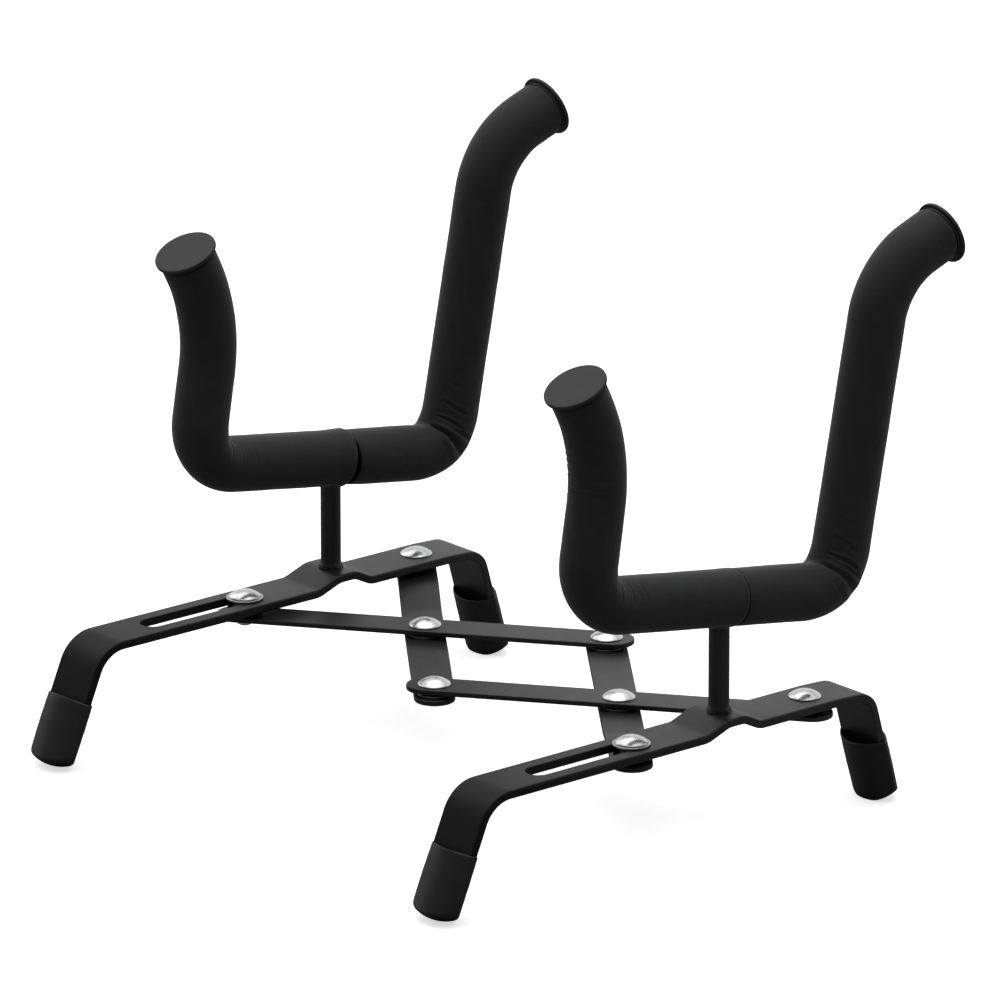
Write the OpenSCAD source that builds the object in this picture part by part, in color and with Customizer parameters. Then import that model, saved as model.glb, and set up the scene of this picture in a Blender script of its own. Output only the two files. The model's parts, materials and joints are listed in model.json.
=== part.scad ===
// Folding floor rack for one guitar: two identical cradle stands joined by a
// four-bar lazy-tongs linkage.  Each stand is a bent flat steel strip with
// rubber feet, a welded post and a bent rod cradle covered in foam sleeves.
// +X runs from the left stand to the right one, +Y to the back, +Z up.
// The origin is on the floor, midway between the stands and midway
// between the front and the back of the whole rack.

/* [Stance] */
// Distance between the two strips' centre lines, fully open
spread = 260; // [240:1:280]
// Distance along a strip between its slot rivet and its rear rivet, fully open
pivot_pitch = 98.6; // [94:0.2:104]
// Height of a strip's top face above the floor
strip_top = 54; // [50:0.5:60]
// Distance from the origin back to the posts
post_y = 17.35; // [10:0.05:24]

/* [Base strips] */
// Width of the flat strip
strip_w = 25; // [22:0.5:28]
// Thickness of the flat strip
strip_t = 3.8; // [3:0.1:4.5]
// Rise of the raised seat under the post
seat_rise = 4.4; // [3:0.1:5]
// Length of the level top of the raised seat
seat_flat = 9; // [8.6:0.1:11]
// Length of the ramp in front of the raised seat
seat_front_run = 12; // [10:0.5:16]
// Length of the ramp behind the raised seat
seat_rear_run = 9; // [8.5:0.5:12]
// Distance from the post forward to the front leg bend
front_reach = 137.2; // [130:0.1:142]
// Distance from the post back to the rear leg bend
rear_reach = 77; // [74:0.1:84]
// Splay of the front legs from vertical, in degrees
front_rake = 23.5; // [18:0.5:27]
// Splay of the rear legs from vertical, in degrees
rear_rake = 16; // [12:0.5:20]
// Centre-line radius of the front leg bend
front_bend_r = 16; // [10:0.5:18]
// Centre-line radius of the rear leg bend
rear_bend_r = 10; // [7:0.5:12]
// Height above the floor where a leg ends inside its rubber foot
leg_end_h = 10; // [8:0.5:14]
// Width of the slot
slot_w = 11; // [10:0.2:12]
// Turn of the link bars from fully open to folded, in degrees
fold_angle = 30; // [20:1:30]

/* [Posts and cradles] */
// Diameter of the post
post_d = 9; // [8:0.1:10]
// Diameter of the cradle rod inside the foam
rod_d = 8; // [7:0.1:9]
// Height of the cradle rod's axis above the floor, at the post
cradle_h = 108.9; // [104:0.1:114]
// Fall of the cradle's bottom towards the back, in degrees
bottom_fall = 8.8; // [6:0.1:11]
// Distance from the post forward to the front lower corner
front_corner = 76.7; // [72:0.1:80]
// Distance from the post back to the rear lower corner
rear_corner = 65.7; // [62:0.1:70]
// Backward lean of the front arm's lower part, in degrees
front_arm_lean = 9.4; // [6:0.1:11]
// Length of the front arm from the lower corner to its upper bend
front_arm_len = 67.9; // [60:0.1:74]
// Forward turn of the front arm's tip from vertical, in degrees
front_tip_lean = 26.4; // [22:0.1:29]
// Length of the front arm's tip past its bend
front_tip_len = 35.5; // [34:0.1:42]
// Backward lean of the rear arm, in degrees
rear_arm_lean = 11.1; // [7:0.1:13]
// Length of the rear arm from the lower corner to its upper bend
rear_arm_len = 139.6; // [130:0.1:148]
// Backward turn of the rear arm's tip from vertical, in degrees
rear_tip_lean = 70; // [62:0.1:75]
// Length of the rear arm's tip past its bend
rear_tip_len = 36; // [33:0.1:42]
// Centre-line radius of the lower corners
corner_r = 20.9; // [16:0.1:23]
// Centre-line radius of the front arm's upper bend
front_tip_r = 79; // [60:1:88]
// Centre-line radius of the rear arm's upper bend
rear_tip_r = 37; // [28:1:42]

/* [Foam and end caps] */
// Outer diameter of the foam sleeves
foam_d = 25; // [22:0.2:27]
// Distance from the post back to the butt joint of the two sleeves
foam_joint = 6.4; // [6:0.1:8]
// Gap between the two sleeves at their joint
foam_gap = 0.4; // [0.2:0.1:1]
// Diameter of the end caps
cap_d = 28; // [26:0.2:30]
// Thickness of an end cap's disc
cap_t = 2.6; // [2:0.1:3.5]
// Diameter of the end caps' spigots
spigot_d = 4; // [3:0.1:5]
// Length of the end caps' spigots
spigot_len = 12; // [8:0.5:16]

/* [Rubber feet] */
// Width of a rubber foot
foot_w = 27.8; // [26.5:0.1:29]
// Thickness of a rubber foot
foot_t = 15.6; // [12:0.1:17]
// Length of a rubber foot, from its mouth to its tip
foot_len = 30.8; // [30:0.1:32]
// Height of the foot's mouth above the floor, on the leg's centre line
foot_mouth_h = 29.2; // [28:0.1:30]
// Radius of the domed tip
foot_dome_r = 18; // [17:0.1:20]

/* [Linkage] */
// Width of the link bars
bar_w = 18; // [16:0.5:20]
// Extra length of a link bar past its end pivots
bar_over = 3.3; // [2:0.1:4]
// Distance from its strip's rivet at which a lower bar starts to bend down
bend_from = 22; // [18:1:26]
// Distance from its strip's rivet at which a lower bar is fully down
bend_to = 50; // [44:1:54]
// Thickness of the link bars
bar_t = 2.3; // [2:0.1:3]
// Gap between a strip and the upper bars, filled by a spacer
upper_gap = 2.6; // [1.6:0.1:3.2]
// Gap between the upper and the lower bars, filled by a washer
lower_gap = 1.6; // [0.8:0.1:1.8]
// Diameter of the rivet shanks
rivet_d = 5; // [4:0.1:6]
// Diameter of the rivet heads
head_d = 14.4; // [12:0.1:15]
// Height of the rivet heads
head_h = 3.2; // [2.4:0.1:4]
// Diameter of the rivets' set lower ends
tail_d = 10.4; // [8:0.1:11]
// Height of the rivets' set lower ends
tail_h = 2.4; // [1.6:0.1:2.8]
// Diameter of the spacers and washers
washer_d = 15.6; // [13:0.2:17]
// Diameter of the wide washer on top of a slot
slot_washer_d = 16.6; // [15:0.1:18]
// Thickness of the wide washer on top of a slot
slot_washer_t = 1; // [0.8:0.1:1.4]

/* [Clearances] */
// Radial running clearance of a rivet in its hole
run_c = 0.05; // [0.03:0.01:0.1]
// Clearance between faces that slide on each other
face_c = 0.05; // [0.03:0.01:0.1]

/* [Hidden] */
$fn = 64;
fine = 96; // facets of the large domes and arcs
steel = [0.09, 0.09, 0.10];
foam_black = [0.12, 0.12, 0.12];
rubber_black = [0.10, 0.10, 0.10];
bright = [0.80, 0.80, 0.82];

// Modelling allowances
cut = 1;          // how far a cutting shape runs past the face it cuts
join = 1;         // how far a shank or tenon reaches into the rest of its piece
bend_lap = 0.5;   // overlap of a straight round run into its bends
bend_skin = 0.08; // extra radius of a round bar's bends
arc_step = 6;     // largest angle of one step round a flat bar's bend

// Levels of the strips and link bars
strip_mid = strip_top - strip_t / 2;
strip_under = strip_top - strip_t;
seat_top = strip_top + seat_rise;
upper_top = strip_under - upper_gap;
upper_bot = upper_top - bar_t;
lower_top = upper_bot - lower_gap;
lower_bot = lower_top - bar_t;

// Plan positions of the pivots, fully open
half = spread / 2;
y_front = post_y - pivot_pitch / 2;
y_rear = post_y + pivot_pitch / 2;
bar_len = sqrt(half * half + pivot_pitch * pivot_pitch);
bar_angle = atan2(pivot_pitch, half);
rivet_hole_d = rivet_d + 2 * run_c;
// travel of a slot rivet as the rack folds, with some to spare at each end
slot_spare = 0.3;
slot_travel = bar_len * sin(bar_angle + fold_angle) - pivot_pitch + 2 * slot_spare;

// ---- bent path helpers, in a stand's own side plane: a point is [y, z] ----
// Unit vector at an angle up from +Y
function dir2(angle) = [cos(angle), sin(angle)];
// Unit vector leaning back from vertical
function leaning(angle) = [sin(angle), cos(angle)];
function heading(from, to) = atan2(to[1] - from[1], to[0] - from[0]);
function turn(path, i) =
    let (angle = heading(path[i], path[i + 1]) - heading(path[i - 1], path[i]))
    angle > 180 ? angle - 360 : angle < -180 ? angle + 360 : angle;
// +1 where the path turns left, -1 where it turns right
function turn_side(path, i) = turn(path, i) > 0 ? 1 : -1;
// Distance from corner i to where its bend starts
function setback(path, radii, i) = radii[i] * tan(abs(turn(path, i)) / 2);
function bend_centre(path, radii, i) =
    let (angle = heading(path[i - 1], path[i]))
    path[i] - setback(path, radii, i) * dir2(angle)
    + turn_side(path, i) * radii[i] * dir2(angle + 90);
// Distance from point i to the end of the straight run beside it
function run_trim(path, radii, i) =
    (i == 0 || i == len(path) - 1) ? 0 : setback(path, radii, i) - bend_lap;
function run_len(path, radii, i) =
    norm(path[i + 1] - path[i]) - run_trim(path, radii, i) - run_trim(path, radii, i + 1);
// Radius of an arc from half its chord and its rise
function arc_radius(half_chord, rise) =
    (half_chord * half_chord + rise * rise) / (2 * rise);

// Places children at a path point with +Z along a direction of the side plane.
module along(point, dir) {
    translate([0, point[0], point[1]]) rotate([atan2(dir[1], dir[0]) - 90, 0, 0]) children();
}

// Places children (a solid along +Z) on straight run i of a path, reaching a
// little into the bends at its ends.
module on_run(path, radii, i) {
    angle = heading(path[i], path[i + 1]);
    along(path[i] + run_trim(path, radii, i) * dir2(angle), path[i + 1] - path[i]) children();
}

// Places children (a profile's solid of revolution) on the bend at corner i.
module on_bend(path, radii, i) {
    angle = heading(path[i - 1], path[i]);
    bend = turn(path, i);
    centre = bend_centre(path, radii, i);
    translate([0, centre[0], centre[1]]) rotate([90, 0, 90])
        rotate(bend > 0 ? angle - 90 : angle + 90 + bend) children();
}

// Round bar or tube bent along a path.  The bends are drawn a hair thicker
// than the straight runs so that each run ends inside its bends.
module bent_round(path, radii, diameter, bore = 0) {
    for (i = [0 : len(path) - 2])
        on_run(path, radii, i) linear_extrude(run_len(path, radii, i)) difference() {
            circle(d = diameter);
            if (bore > 0) circle(d = bore);
        }
    for (i = [1 : len(path) - 2])
        on_bend(path, radii, i) rotate_extrude(angle = abs(turn(path, i)))
            translate([radii[i], 0]) difference() {
                circle(d = diameter + 2 * bend_skin);
                if (bore > 0) circle(d = bore - 2 * bend_skin);
            }
}

// One edge of a flat bar bent along a path, off to the left of its centre line
function edge_pts(path, radii, off) =
    let (last = len(path) - 1)
    [
        path[0] + off * dir2(heading(path[0], path[1]) + 90),
        for (i = [1 : last - 1])
            let (
                normal = heading(path[i - 1], path[i]) + 90,
                bend = turn(path, i),
                side = turn_side(path, i),
                centre = bend_centre(path, radii, i),
                steps = ceil(abs(bend) / arc_step)
            )
            for (k = [0 : steps])
                centre - side * (radii[i] - side * off) * dir2(normal + bend * k / steps),
        path[last] + off * dir2(heading(path[last - 1], path[last]) + 90)
    ];

// Flat bar bent along a path.
module bent_flat(path, radii, width, thickness) {
    upper = edge_pts(path, radii, thickness / 2);
    lower = edge_pts(path, radii, -thickness / 2);
    rotate([90, 0, 90]) linear_extrude(width, center = true)
        polygon(concat(upper, [for (i = [len(lower) - 1 : -1 : 0]) lower[i]]));
}

// ---- base strip ----
seat_front_r = 12;   // radius of the two bends of the seat's front ramp
seat_rear_r = 9;     // radius of the two bends of the seat's rear ramp
rear_fall = 0.9;     // fall of the strip from behind the rear rivet to the leg bend
rear_fall_from = 9;  // distance from the rear rivet back to where it starts to fall
rear_fall_r = 60;    // radius of the bend where it starts to fall
tenon_d = 6;         // tenon that joins the post to the strip
tenon_play = 0.1;    // extra diameter of the tenon's hole

front_bend = [-front_reach, strip_mid];
rear_bend = [rear_reach, strip_mid - rear_fall];
strip_path = [
    front_bend + (front_bend[1] - leg_end_h) * [-tan(front_rake), -1],
    front_bend,
    [-seat_flat / 2 - seat_front_run, strip_mid],
    [-seat_flat / 2, strip_mid + seat_rise],
    [seat_flat / 2, strip_mid + seat_rise],
    [seat_flat / 2 + seat_rear_run, strip_mid],
    [pivot_pitch / 2 + rear_fall_from, strip_mid],
    rear_bend,
    rear_bend + (rear_bend[1] - leg_end_h) * [tan(rear_rake), -1]
];
strip_radii = [
    0, front_bend_r, seat_front_r, seat_front_r,
    seat_rear_r, seat_rear_r, rear_fall_r, rear_bend_r, 0
];

module base_strip() {
    hole_h = strip_t + 2 * cut;
    color(steel) difference() {
        bent_flat(strip_path, strip_radii, strip_w, strip_t);
        // slot for the sliding rivet
        translate([0, -pivot_pitch / 2 + slot_spare, strip_under - cut]) {
            cylinder(d = slot_w, h = hole_h);
            translate([0, -slot_travel, 0]) cylinder(d = slot_w, h = hole_h);
            translate([-slot_w / 2, -slot_travel, 0]) cube([slot_w, slot_travel, hole_h]);
        }
        // rear rivet hole
        translate([0, pivot_pitch / 2, strip_under - cut])
            cylinder(d = rivet_hole_d, h = hole_h);
        // hole for the post's tenon
        translate([0, 0, strip_top - cut])
            cylinder(d = tenon_d + tenon_play, h = seat_rise + 2 * cut);
    }
}

// ---- cradle paths ----
bottom_tan = tan(bottom_fall);
bottom_dir = dir2(-bottom_fall);
front_tip_dir = leaning(-front_tip_lean);
rear_tip_dir = leaning(rear_tip_lean);
lower_front = [-front_corner, cradle_h + front_corner * bottom_tan];
lower_rear = [rear_corner, cradle_h - rear_corner * bottom_tan];
upper_front = lower_front + front_arm_len * leaning(front_arm_lean);
upper_rear = lower_rear + rear_arm_len * leaning(rear_arm_lean);
tip_front = upper_front + front_tip_len * front_tip_dir;
tip_rear = upper_rear + rear_tip_len * rear_tip_dir;
// the rod and the foam stop where an end cap's disc begins
rod_front = tip_front - cap_t * front_tip_dir;
rod_rear = tip_rear - cap_t * rear_tip_dir;
joint_pt = [0, cradle_h] + (foam_joint / bottom_dir[0]) * bottom_dir;

rod_path = [rod_front, upper_front, lower_front, lower_rear, upper_rear, rod_rear];
rod_radii = [0, front_tip_r, corner_r, corner_r, rear_tip_r, 0];
front_foam_path = [rod_front, upper_front, lower_front, joint_pt];
front_foam_radii = [0, front_tip_r, corner_r, 0];
rear_foam_path = [joint_pt + foam_gap * bottom_dir, lower_rear, upper_rear, rod_rear];
rear_foam_radii = [0, corner_r, rear_tip_r, 0];

// ---- post, rod, foam and end caps ----
weld_spread = 1.7;    // radial width of the weld bead at its foot
weld_h = 2.4;         // height of the weld bead
saddle_play = 0.04;   // extra diameter of the post's saddle over the rod
saddle_reach = 30;    // distance the saddle's cutter starts in front of the post
spigot_play = 0.1;    // extra diameter of a spigot's bore
spigot_spare = 0.5;   // extra depth of a spigot's bore
cap_gap = 0.02;       // gap between an end cap's disc and the rod's end
foam_bore = rod_d + 0.6;
foam_post_play = 0.4; // extra diameter of the foam's hole for the post

module post() {
    color(steel) difference() {
        union() {
            translate([0, 0, seat_top]) cylinder(d = post_d, h = cradle_h - seat_top);
            // weld bead at the foot
            translate([0, 0, seat_top])
                cylinder(r1 = post_d / 2 + weld_spread, r2 = post_d / 2, h = weld_h);
            // tenon through the strip
            translate([0, 0, seat_top - strip_t]) cylinder(d = tenon_d, h = strip_t + join);
        }
        // saddle that fits the underside of the rod
        along([-saddle_reach, cradle_h + saddle_reach * bottom_tan], bottom_dir)
            cylinder(d = rod_d + saddle_play, h = 2 * saddle_reach);
    }
}

// Bore for an end cap's spigot, from the rod's end inwards
module spigot_bore(rod_end, tip_dir) {
    along(rod_end, -tip_dir) translate([0, 0, -cut])
        cylinder(d = spigot_d + spigot_play, h = spigot_len + spigot_spare + cut);
}

module cradle_rod() {
    color(steel) difference() {
        bent_round(rod_path, rod_radii, rod_d);
        spigot_bore(rod_front, front_tip_dir);
        spigot_bore(rod_rear, rear_tip_dir);
    }
}

module front_foam() {
    color(foam_black) difference() {
        bent_round(front_foam_path, front_foam_radii, foam_d, foam_bore);
        // hole for the post
        translate([0, 0, cradle_h - foam_d]) cylinder(d = post_d + foam_post_play, h = foam_d);
    }
}

module rear_foam() {
    color(foam_black) bent_round(rear_foam_path, rear_foam_radii, foam_d, foam_bore);
}

// End cap: a disc at the tip of an arm and a spigot into the rod
module end_cap(tip, tip_dir) {
    color(rubber_black) {
        along(tip, -tip_dir) cylinder(d = cap_d, h = cap_t - cap_gap);
        along(tip, -tip_dir) translate([0, 0, cap_t / 2])
            cylinder(d = spigot_d, h = cap_t / 2 + spigot_len);
    }
}

module front_end_cap() { end_cap(tip_front, front_tip_dir); }
module rear_end_cap() { end_cap(tip_rear, rear_tip_dir); }

// ---- rubber feet ----
lens_over = 0.9;             // how far the lens's points would pass the foot's sides
lens_extra_len = 3;          // length of the sleeve past the dome that cuts it
pocket_play = 0.05;          // clearance on each side of the leg in its pocket
pocket_spare = 0.1;          // extra depth of the pocket past the leg's end
pocket_over = 2;             // how far the pocket's cutter runs out of the mouth
sole_block = [100, 120, 20]; // block that cuts the sole level

// Rubber foot: a lens-shaped sleeve over the leg's end with a domed tip,
// cut level where it stands on the floor.
module rubber_foot(bend, rake, side) {
    // side -1 splays to the front, +1 to the back
    leg_dir = [side * sin(rake), -cos(rake)];
    mouth = bend + ((bend[1] - foot_mouth_h) / cos(rake)) * leg_dir;
    leg_run = (foot_mouth_h - leg_end_h) / cos(rake);
    dome_centre = mouth + (foot_len - foot_dome_r) * leg_dir;
    lens_rise = foot_t / 2;
    lens_r = arc_radius(foot_w / 2 + lens_over, lens_rise);
    color(rubber_black) difference() {
        intersection() {
            along(mouth, leg_dir) linear_extrude(foot_len + lens_extra_len) intersection() {
                translate([0, lens_r - lens_rise]) circle(lens_r, $fn = fine);
                translate([0, lens_rise - lens_r]) circle(lens_r, $fn = fine);
                square([foot_w, 4 * foot_t], center = true);
            }
            translate([0, dome_centre[0], dome_centre[1]]) union() {
                sphere(foot_dome_r, $fn = fine);
                along([0, 0], -leg_dir) cylinder(r = foot_dome_r, h = 3 * foot_len, $fn = fine);
            }
        }
        // pocket for the leg
        along(mouth, leg_dir)
            translate([-strip_w / 2 - pocket_play, -strip_t / 2 - pocket_play, -pocket_over])
            cube([
                strip_w + 2 * pocket_play,
                strip_t + 2 * pocket_play,
                leg_run + pocket_spare + pocket_over
            ]);
        // level sole
        translate([-sole_block[0] / 2, mouth[0] - sole_block[1] / 2, -sole_block[2]])
            cube(sole_block);
    }
}

module front_foot() { rubber_foot(front_bend, front_rake, -1); }
module rear_foot() { rubber_foot(rear_bend, rear_rake, 1); }

// ---- link bars, drawn along +X from their first pivot ----
bar_bend_r = 40;         // centre-line radius of a lower bar's bends
levels_z = lower_bot - 5; // start of a band of height that spans both bar levels
levels_h = 20;           // height of that band

module bar_plan() {
    translate([-bar_over, 0]) circle(d = bar_w);
    translate([bar_len + bar_over, 0]) circle(d = bar_w);
    translate([-bar_over, -bar_w / 2]) square([bar_len + 2 * bar_over, bar_w]);
}

module bar_holes() {
    for (k = [0, 0.5, 1]) translate([k * bar_len, 0, levels_z])
        cylinder(d = rivet_hole_d, h = levels_h);
}

// Flat bar at the upper level
module upper_bar(x, y) {
    color(steel) translate([x, y, 0]) rotate(bar_angle) difference() {
        translate([0, 0, upper_bot]) linear_extrude(bar_t) bar_plan();
        bar_holes();
    }
}

// Bar that lies under the upper bars and climbs to their level at its strip,
// which is at its start (far = false) or at its far end
module lower_bar(x, y, far) {
    low = lower_bot + bar_t / 2;
    high = upper_bot + bar_t / 2;
    start = -bar_w;
    end = bar_len + bar_w;
    path = far
        ? [[start, low], [bar_len - bend_to, low], [bar_len - bend_from, high], [end, high]]
        : [[start, high], [bend_from, high], [bend_to, low], [end, low]];
    color(steel) translate([x, y, 0]) rotate(-bar_angle) difference() {
        intersection() {
            rotate(-90) bent_flat(path, [0, bar_bend_r, bar_bend_r, 0], bar_w + 2 * cut, bar_t);
            translate([0, 0, levels_z]) linear_extrude(levels_h) bar_plan();
        }
        bar_holes();
    }
}

// ---- rivets ----
// Domed rivet whose head sits at z_head and whose lower end is set under z_tail
module rivet(x, y, z_head, z_tail) {
    dome_r = arc_radius(head_d / 2, head_h);
    color(bright) translate([x, y, 0]) {
        translate([0, 0, z_head + face_c]) intersection() {
            translate([0, 0, head_h - dome_r]) sphere(dome_r, $fn = fine);
            cylinder(d = head_d + 2 * cut, h = head_h + cut);
        }
        translate([0, 0, z_tail - tail_h])
            cylinder(d = rivet_d, h = z_head + join - z_tail + tail_h);
        translate([0, 0, z_tail - face_c - tail_h]) cylinder(d = tail_d, h = tail_h);
    }
}

module slot_rivet(x) { rivet(x, y_front, strip_top + slot_washer_t, upper_bot); }
module rear_rivet(x) { rivet(x, y_rear, strip_top, upper_bot); }
// rivet through an upper and a lower bar
module bar_rivet(x, y) { rivet(x, y, upper_top, lower_bot); }

// ---- washers, bushes and spacers ----
bush_play = 0.2; // difference between the slot's width and the bush's diameter

module ring(x, y, z0, z1, outer_d, inner_d) {
    color(bright) translate([x, y, z0]) difference() {
        cylinder(d = outer_d, h = z1 - z0);
        translate([0, 0, -cut]) cylinder(d = inner_d, h = z1 - z0 + 2 * cut);
    }
}

module slot_bush(x) {
    ring(x, y_front, upper_top + face_c, strip_top + face_c, slot_w - bush_play, rivet_hole_d);
}
module slot_washer(x) {
    ring(x, y_front, strip_top + 2 * face_c, strip_top + slot_washer_t,
        slot_washer_d, rivet_hole_d);
}
// spacer from a strip's underside down to the top of a bar
module spacer(x, y, inner_d) {
    ring(x, y, upper_top + face_c, strip_under - face_c, washer_d, inner_d);
}
module slot_spacer(x) { spacer(x, y_front, slot_w); }
module rear_spacer(x) { spacer(x, y_rear, rivet_hole_d); }
// washer between an upper and a lower bar
module bar_washer(x, y) {
    ring(x, y, lower_top + face_c, upper_bot - face_c, washer_d, rivet_hole_d);
}

// ---- the rack ----
module at_left() { translate([-half, post_y, 0]) children(); }
module at_right() { translate([half, post_y, 0]) children(); }

at_left() base_strip();  // left_base_strip
at_left() post();  // left_post
at_left() cradle_rod();  // left_cradle_rod
at_left() front_foam();  // left_front_foam
at_left() rear_foam();  // left_rear_foam
at_left() front_end_cap();  // left_front_end_cap
at_left() rear_end_cap();  // left_rear_end_cap
at_left() front_foot();  // left_front_foot
at_left() rear_foot();  // left_rear_foot
at_right() base_strip();  // right_base_strip
at_right() post();  // right_post
at_right() cradle_rod();  // right_cradle_rod
at_right() front_foam();  // right_front_foam
at_right() rear_foam();  // right_rear_foam
at_right() front_end_cap();  // right_front_end_cap
at_right() rear_end_cap();  // right_rear_end_cap
at_right() front_foot();  // right_front_foot
at_right() rear_foot();  // right_rear_foot
// upper bars: left slot to rear centre, and front centre to right rear
upper_bar(-half, y_front);  // left_upper_link
upper_bar(0, y_front);  // right_upper_link
// lower bars: left rear to front centre, and rear centre to right slot
lower_bar(-half, y_rear, far = false);  // left_lower_link
lower_bar(0, y_rear, far = true);  // right_lower_link
slot_rivet(-half);  // left_slot_rivet
rear_rivet(-half);  // left_rear_rivet
bar_rivet(-half / 2, post_y);  // left_cross_rivet
bar_rivet(0, y_front);  // front_centre_rivet
bar_rivet(0, y_rear);  // rear_centre_rivet
bar_rivet(half / 2, post_y);  // right_cross_rivet
slot_rivet(half);  // right_slot_rivet
rear_rivet(half);  // right_rear_rivet
slot_washer(-half);  // left_slot_washer
slot_washer(half);  // right_slot_washer
slot_bush(-half);  // left_slot_bush
slot_bush(half);  // right_slot_bush
slot_spacer(-half);  // left_slot_spacer
rear_spacer(-half);  // left_rear_spacer
slot_spacer(half);  // right_slot_spacer
rear_spacer(half);  // right_rear_spacer
bar_washer(-half / 2, post_y);  // left_cross_washer
bar_washer(0, y_front);  // front_centre_washer
bar_washer(0, y_rear);  // rear_centre_washer
bar_washer(half / 2, post_y);  // right_cross_washer
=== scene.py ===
import json
from collections import namedtuple
from math import asin, atan2, ceil, cos, degrees, hypot, pi, radians, sin, sqrt, tan

import bmesh
import bpy
import numpy as np
from mathutils import Matrix, Vector
from mathutils.geometry import tessellate_polygon

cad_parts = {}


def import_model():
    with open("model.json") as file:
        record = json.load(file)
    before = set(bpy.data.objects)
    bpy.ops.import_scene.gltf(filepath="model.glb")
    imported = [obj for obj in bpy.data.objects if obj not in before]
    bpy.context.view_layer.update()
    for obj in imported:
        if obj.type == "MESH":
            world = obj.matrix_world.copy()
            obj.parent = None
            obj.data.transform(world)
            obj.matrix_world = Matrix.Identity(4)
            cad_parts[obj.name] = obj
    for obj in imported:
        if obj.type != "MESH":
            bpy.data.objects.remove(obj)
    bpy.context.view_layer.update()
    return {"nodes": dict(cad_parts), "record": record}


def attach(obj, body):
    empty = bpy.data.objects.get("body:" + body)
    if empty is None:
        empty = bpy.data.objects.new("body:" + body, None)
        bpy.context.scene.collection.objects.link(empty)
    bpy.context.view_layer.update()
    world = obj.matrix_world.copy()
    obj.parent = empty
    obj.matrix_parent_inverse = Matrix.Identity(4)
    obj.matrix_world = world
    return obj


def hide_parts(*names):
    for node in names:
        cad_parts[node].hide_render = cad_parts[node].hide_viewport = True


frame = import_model()
MM = 0.001

# ---------------------------------------------------------------- dimensions
HALF = 130.0  # from the middle to each stand
PITCH = 98.6  # between the front and rear rivets
POST_Y = 17.35
SIDES = (("left", -HALF), ("right", HALF))

# base strips: level, with a raised seat under the post and a leg at each end
STRIP_TOP = 54.0
STRIP_W, STRIP_T = 25.0, 3.8
STRIP_CORNER_R = 1.6
SEAT_RISE = 4.4
SEAT_FLAT, SEAT_FRONT, SEAT_REAR = 9.0, 12.0, 9.0  # lengths of the flat and its slopes
FRONT_REACH, REAR_REACH = 137.2, 77.0  # from the post to the leg bends
FRONT_RAKE, REAR_RAKE = radians(23.5), radians(16.0)
REAR_DROP = 0.9  # rear bend below the level run
LEG_END_H = 10.0
SLOT_W = 11.0
SLOT_SPARE = 0.3  # at each end of the slot
FOLD = radians(30.0)

POST_D, ROD_D = 9.0, 8.0
CRADLE_H = 108.9  # rod's centre line above the post
FOAM_R = 12.5
FOAM_JOINT, FOAM_GAP = 6.4, 0.4  # joint's distance behind the post, and its width
BORE_R = ROD_D / 2 + 0.3
CAP_R, CAP_T = 14.0, 2.6
FOOT_LEN, FOOT_MOUTH_H, FOOT_DOME_R = 30.8, 29.2, 18.0

BAR_W, BAR_T = 18.0, 2.3
BAR_OVER = 3.3  # centre of a bar's round end past its end rivet
BEND_FROM, BEND_TO = 22.0, 50.0  # ramp of a lower bar, from its end rivet
UPPER_GAP, LOWER_GAP = 2.6, 1.6  # above the upper bars and above the lower bars

HEAD_R, HEAD_H = 7.2, 3.2
TAIL_R, TAIL_H = 5.2, 2.4
RIVET_R = 2.5
FACE_GAP = 0.05  # between stacked faces
HOLE_R = RIVET_R + 0.05
WASHER_TOP = STRIP_TOP + 1.0

STRIP_MID = STRIP_TOP - STRIP_T / 2
STRIP_UNDER = STRIP_TOP - STRIP_T
SEAT_TOP = STRIP_TOP + SEAT_RISE
UPPER_TOP = STRIP_UNDER - UPPER_GAP
UPPER_BOT = UPPER_TOP - BAR_T
LOWER_TOP = UPPER_BOT - LOWER_GAP
LOWER_BOT = LOWER_TOP - BAR_T
Y_FRONT, Y_REAR = POST_Y - PITCH / 2, POST_Y + PITCH / 2
BAR_LEN = hypot(HALF, PITCH)
BAR_ANGLE = atan2(PITCH, HALF)
SLOT_TRAVEL = BAR_LEN * sin(BAR_ANGLE + FOLD) - PITCH + 2 * SLOT_SPARE


# ---------------------------------------------------------------- small maths
def smooth(x):
    """Smooth step from 0 to 1."""
    x = np.clip(x, 0.0, 1.0)
    return x * x * (3 - 2 * x)


def wrap(angle):
    """The same angle between -pi and pi."""
    return (angle + pi) % (2 * pi) - pi


def unit(heading):
    return np.array([cos(heading), sin(heading)])


def rgba(colour):
    """Colour of three parts, or one grey value, with full alpha."""
    if not hasattr(colour, "__len__"):
        colour = (colour, colour, colour)
    return (*colour, 1.0)


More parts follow.
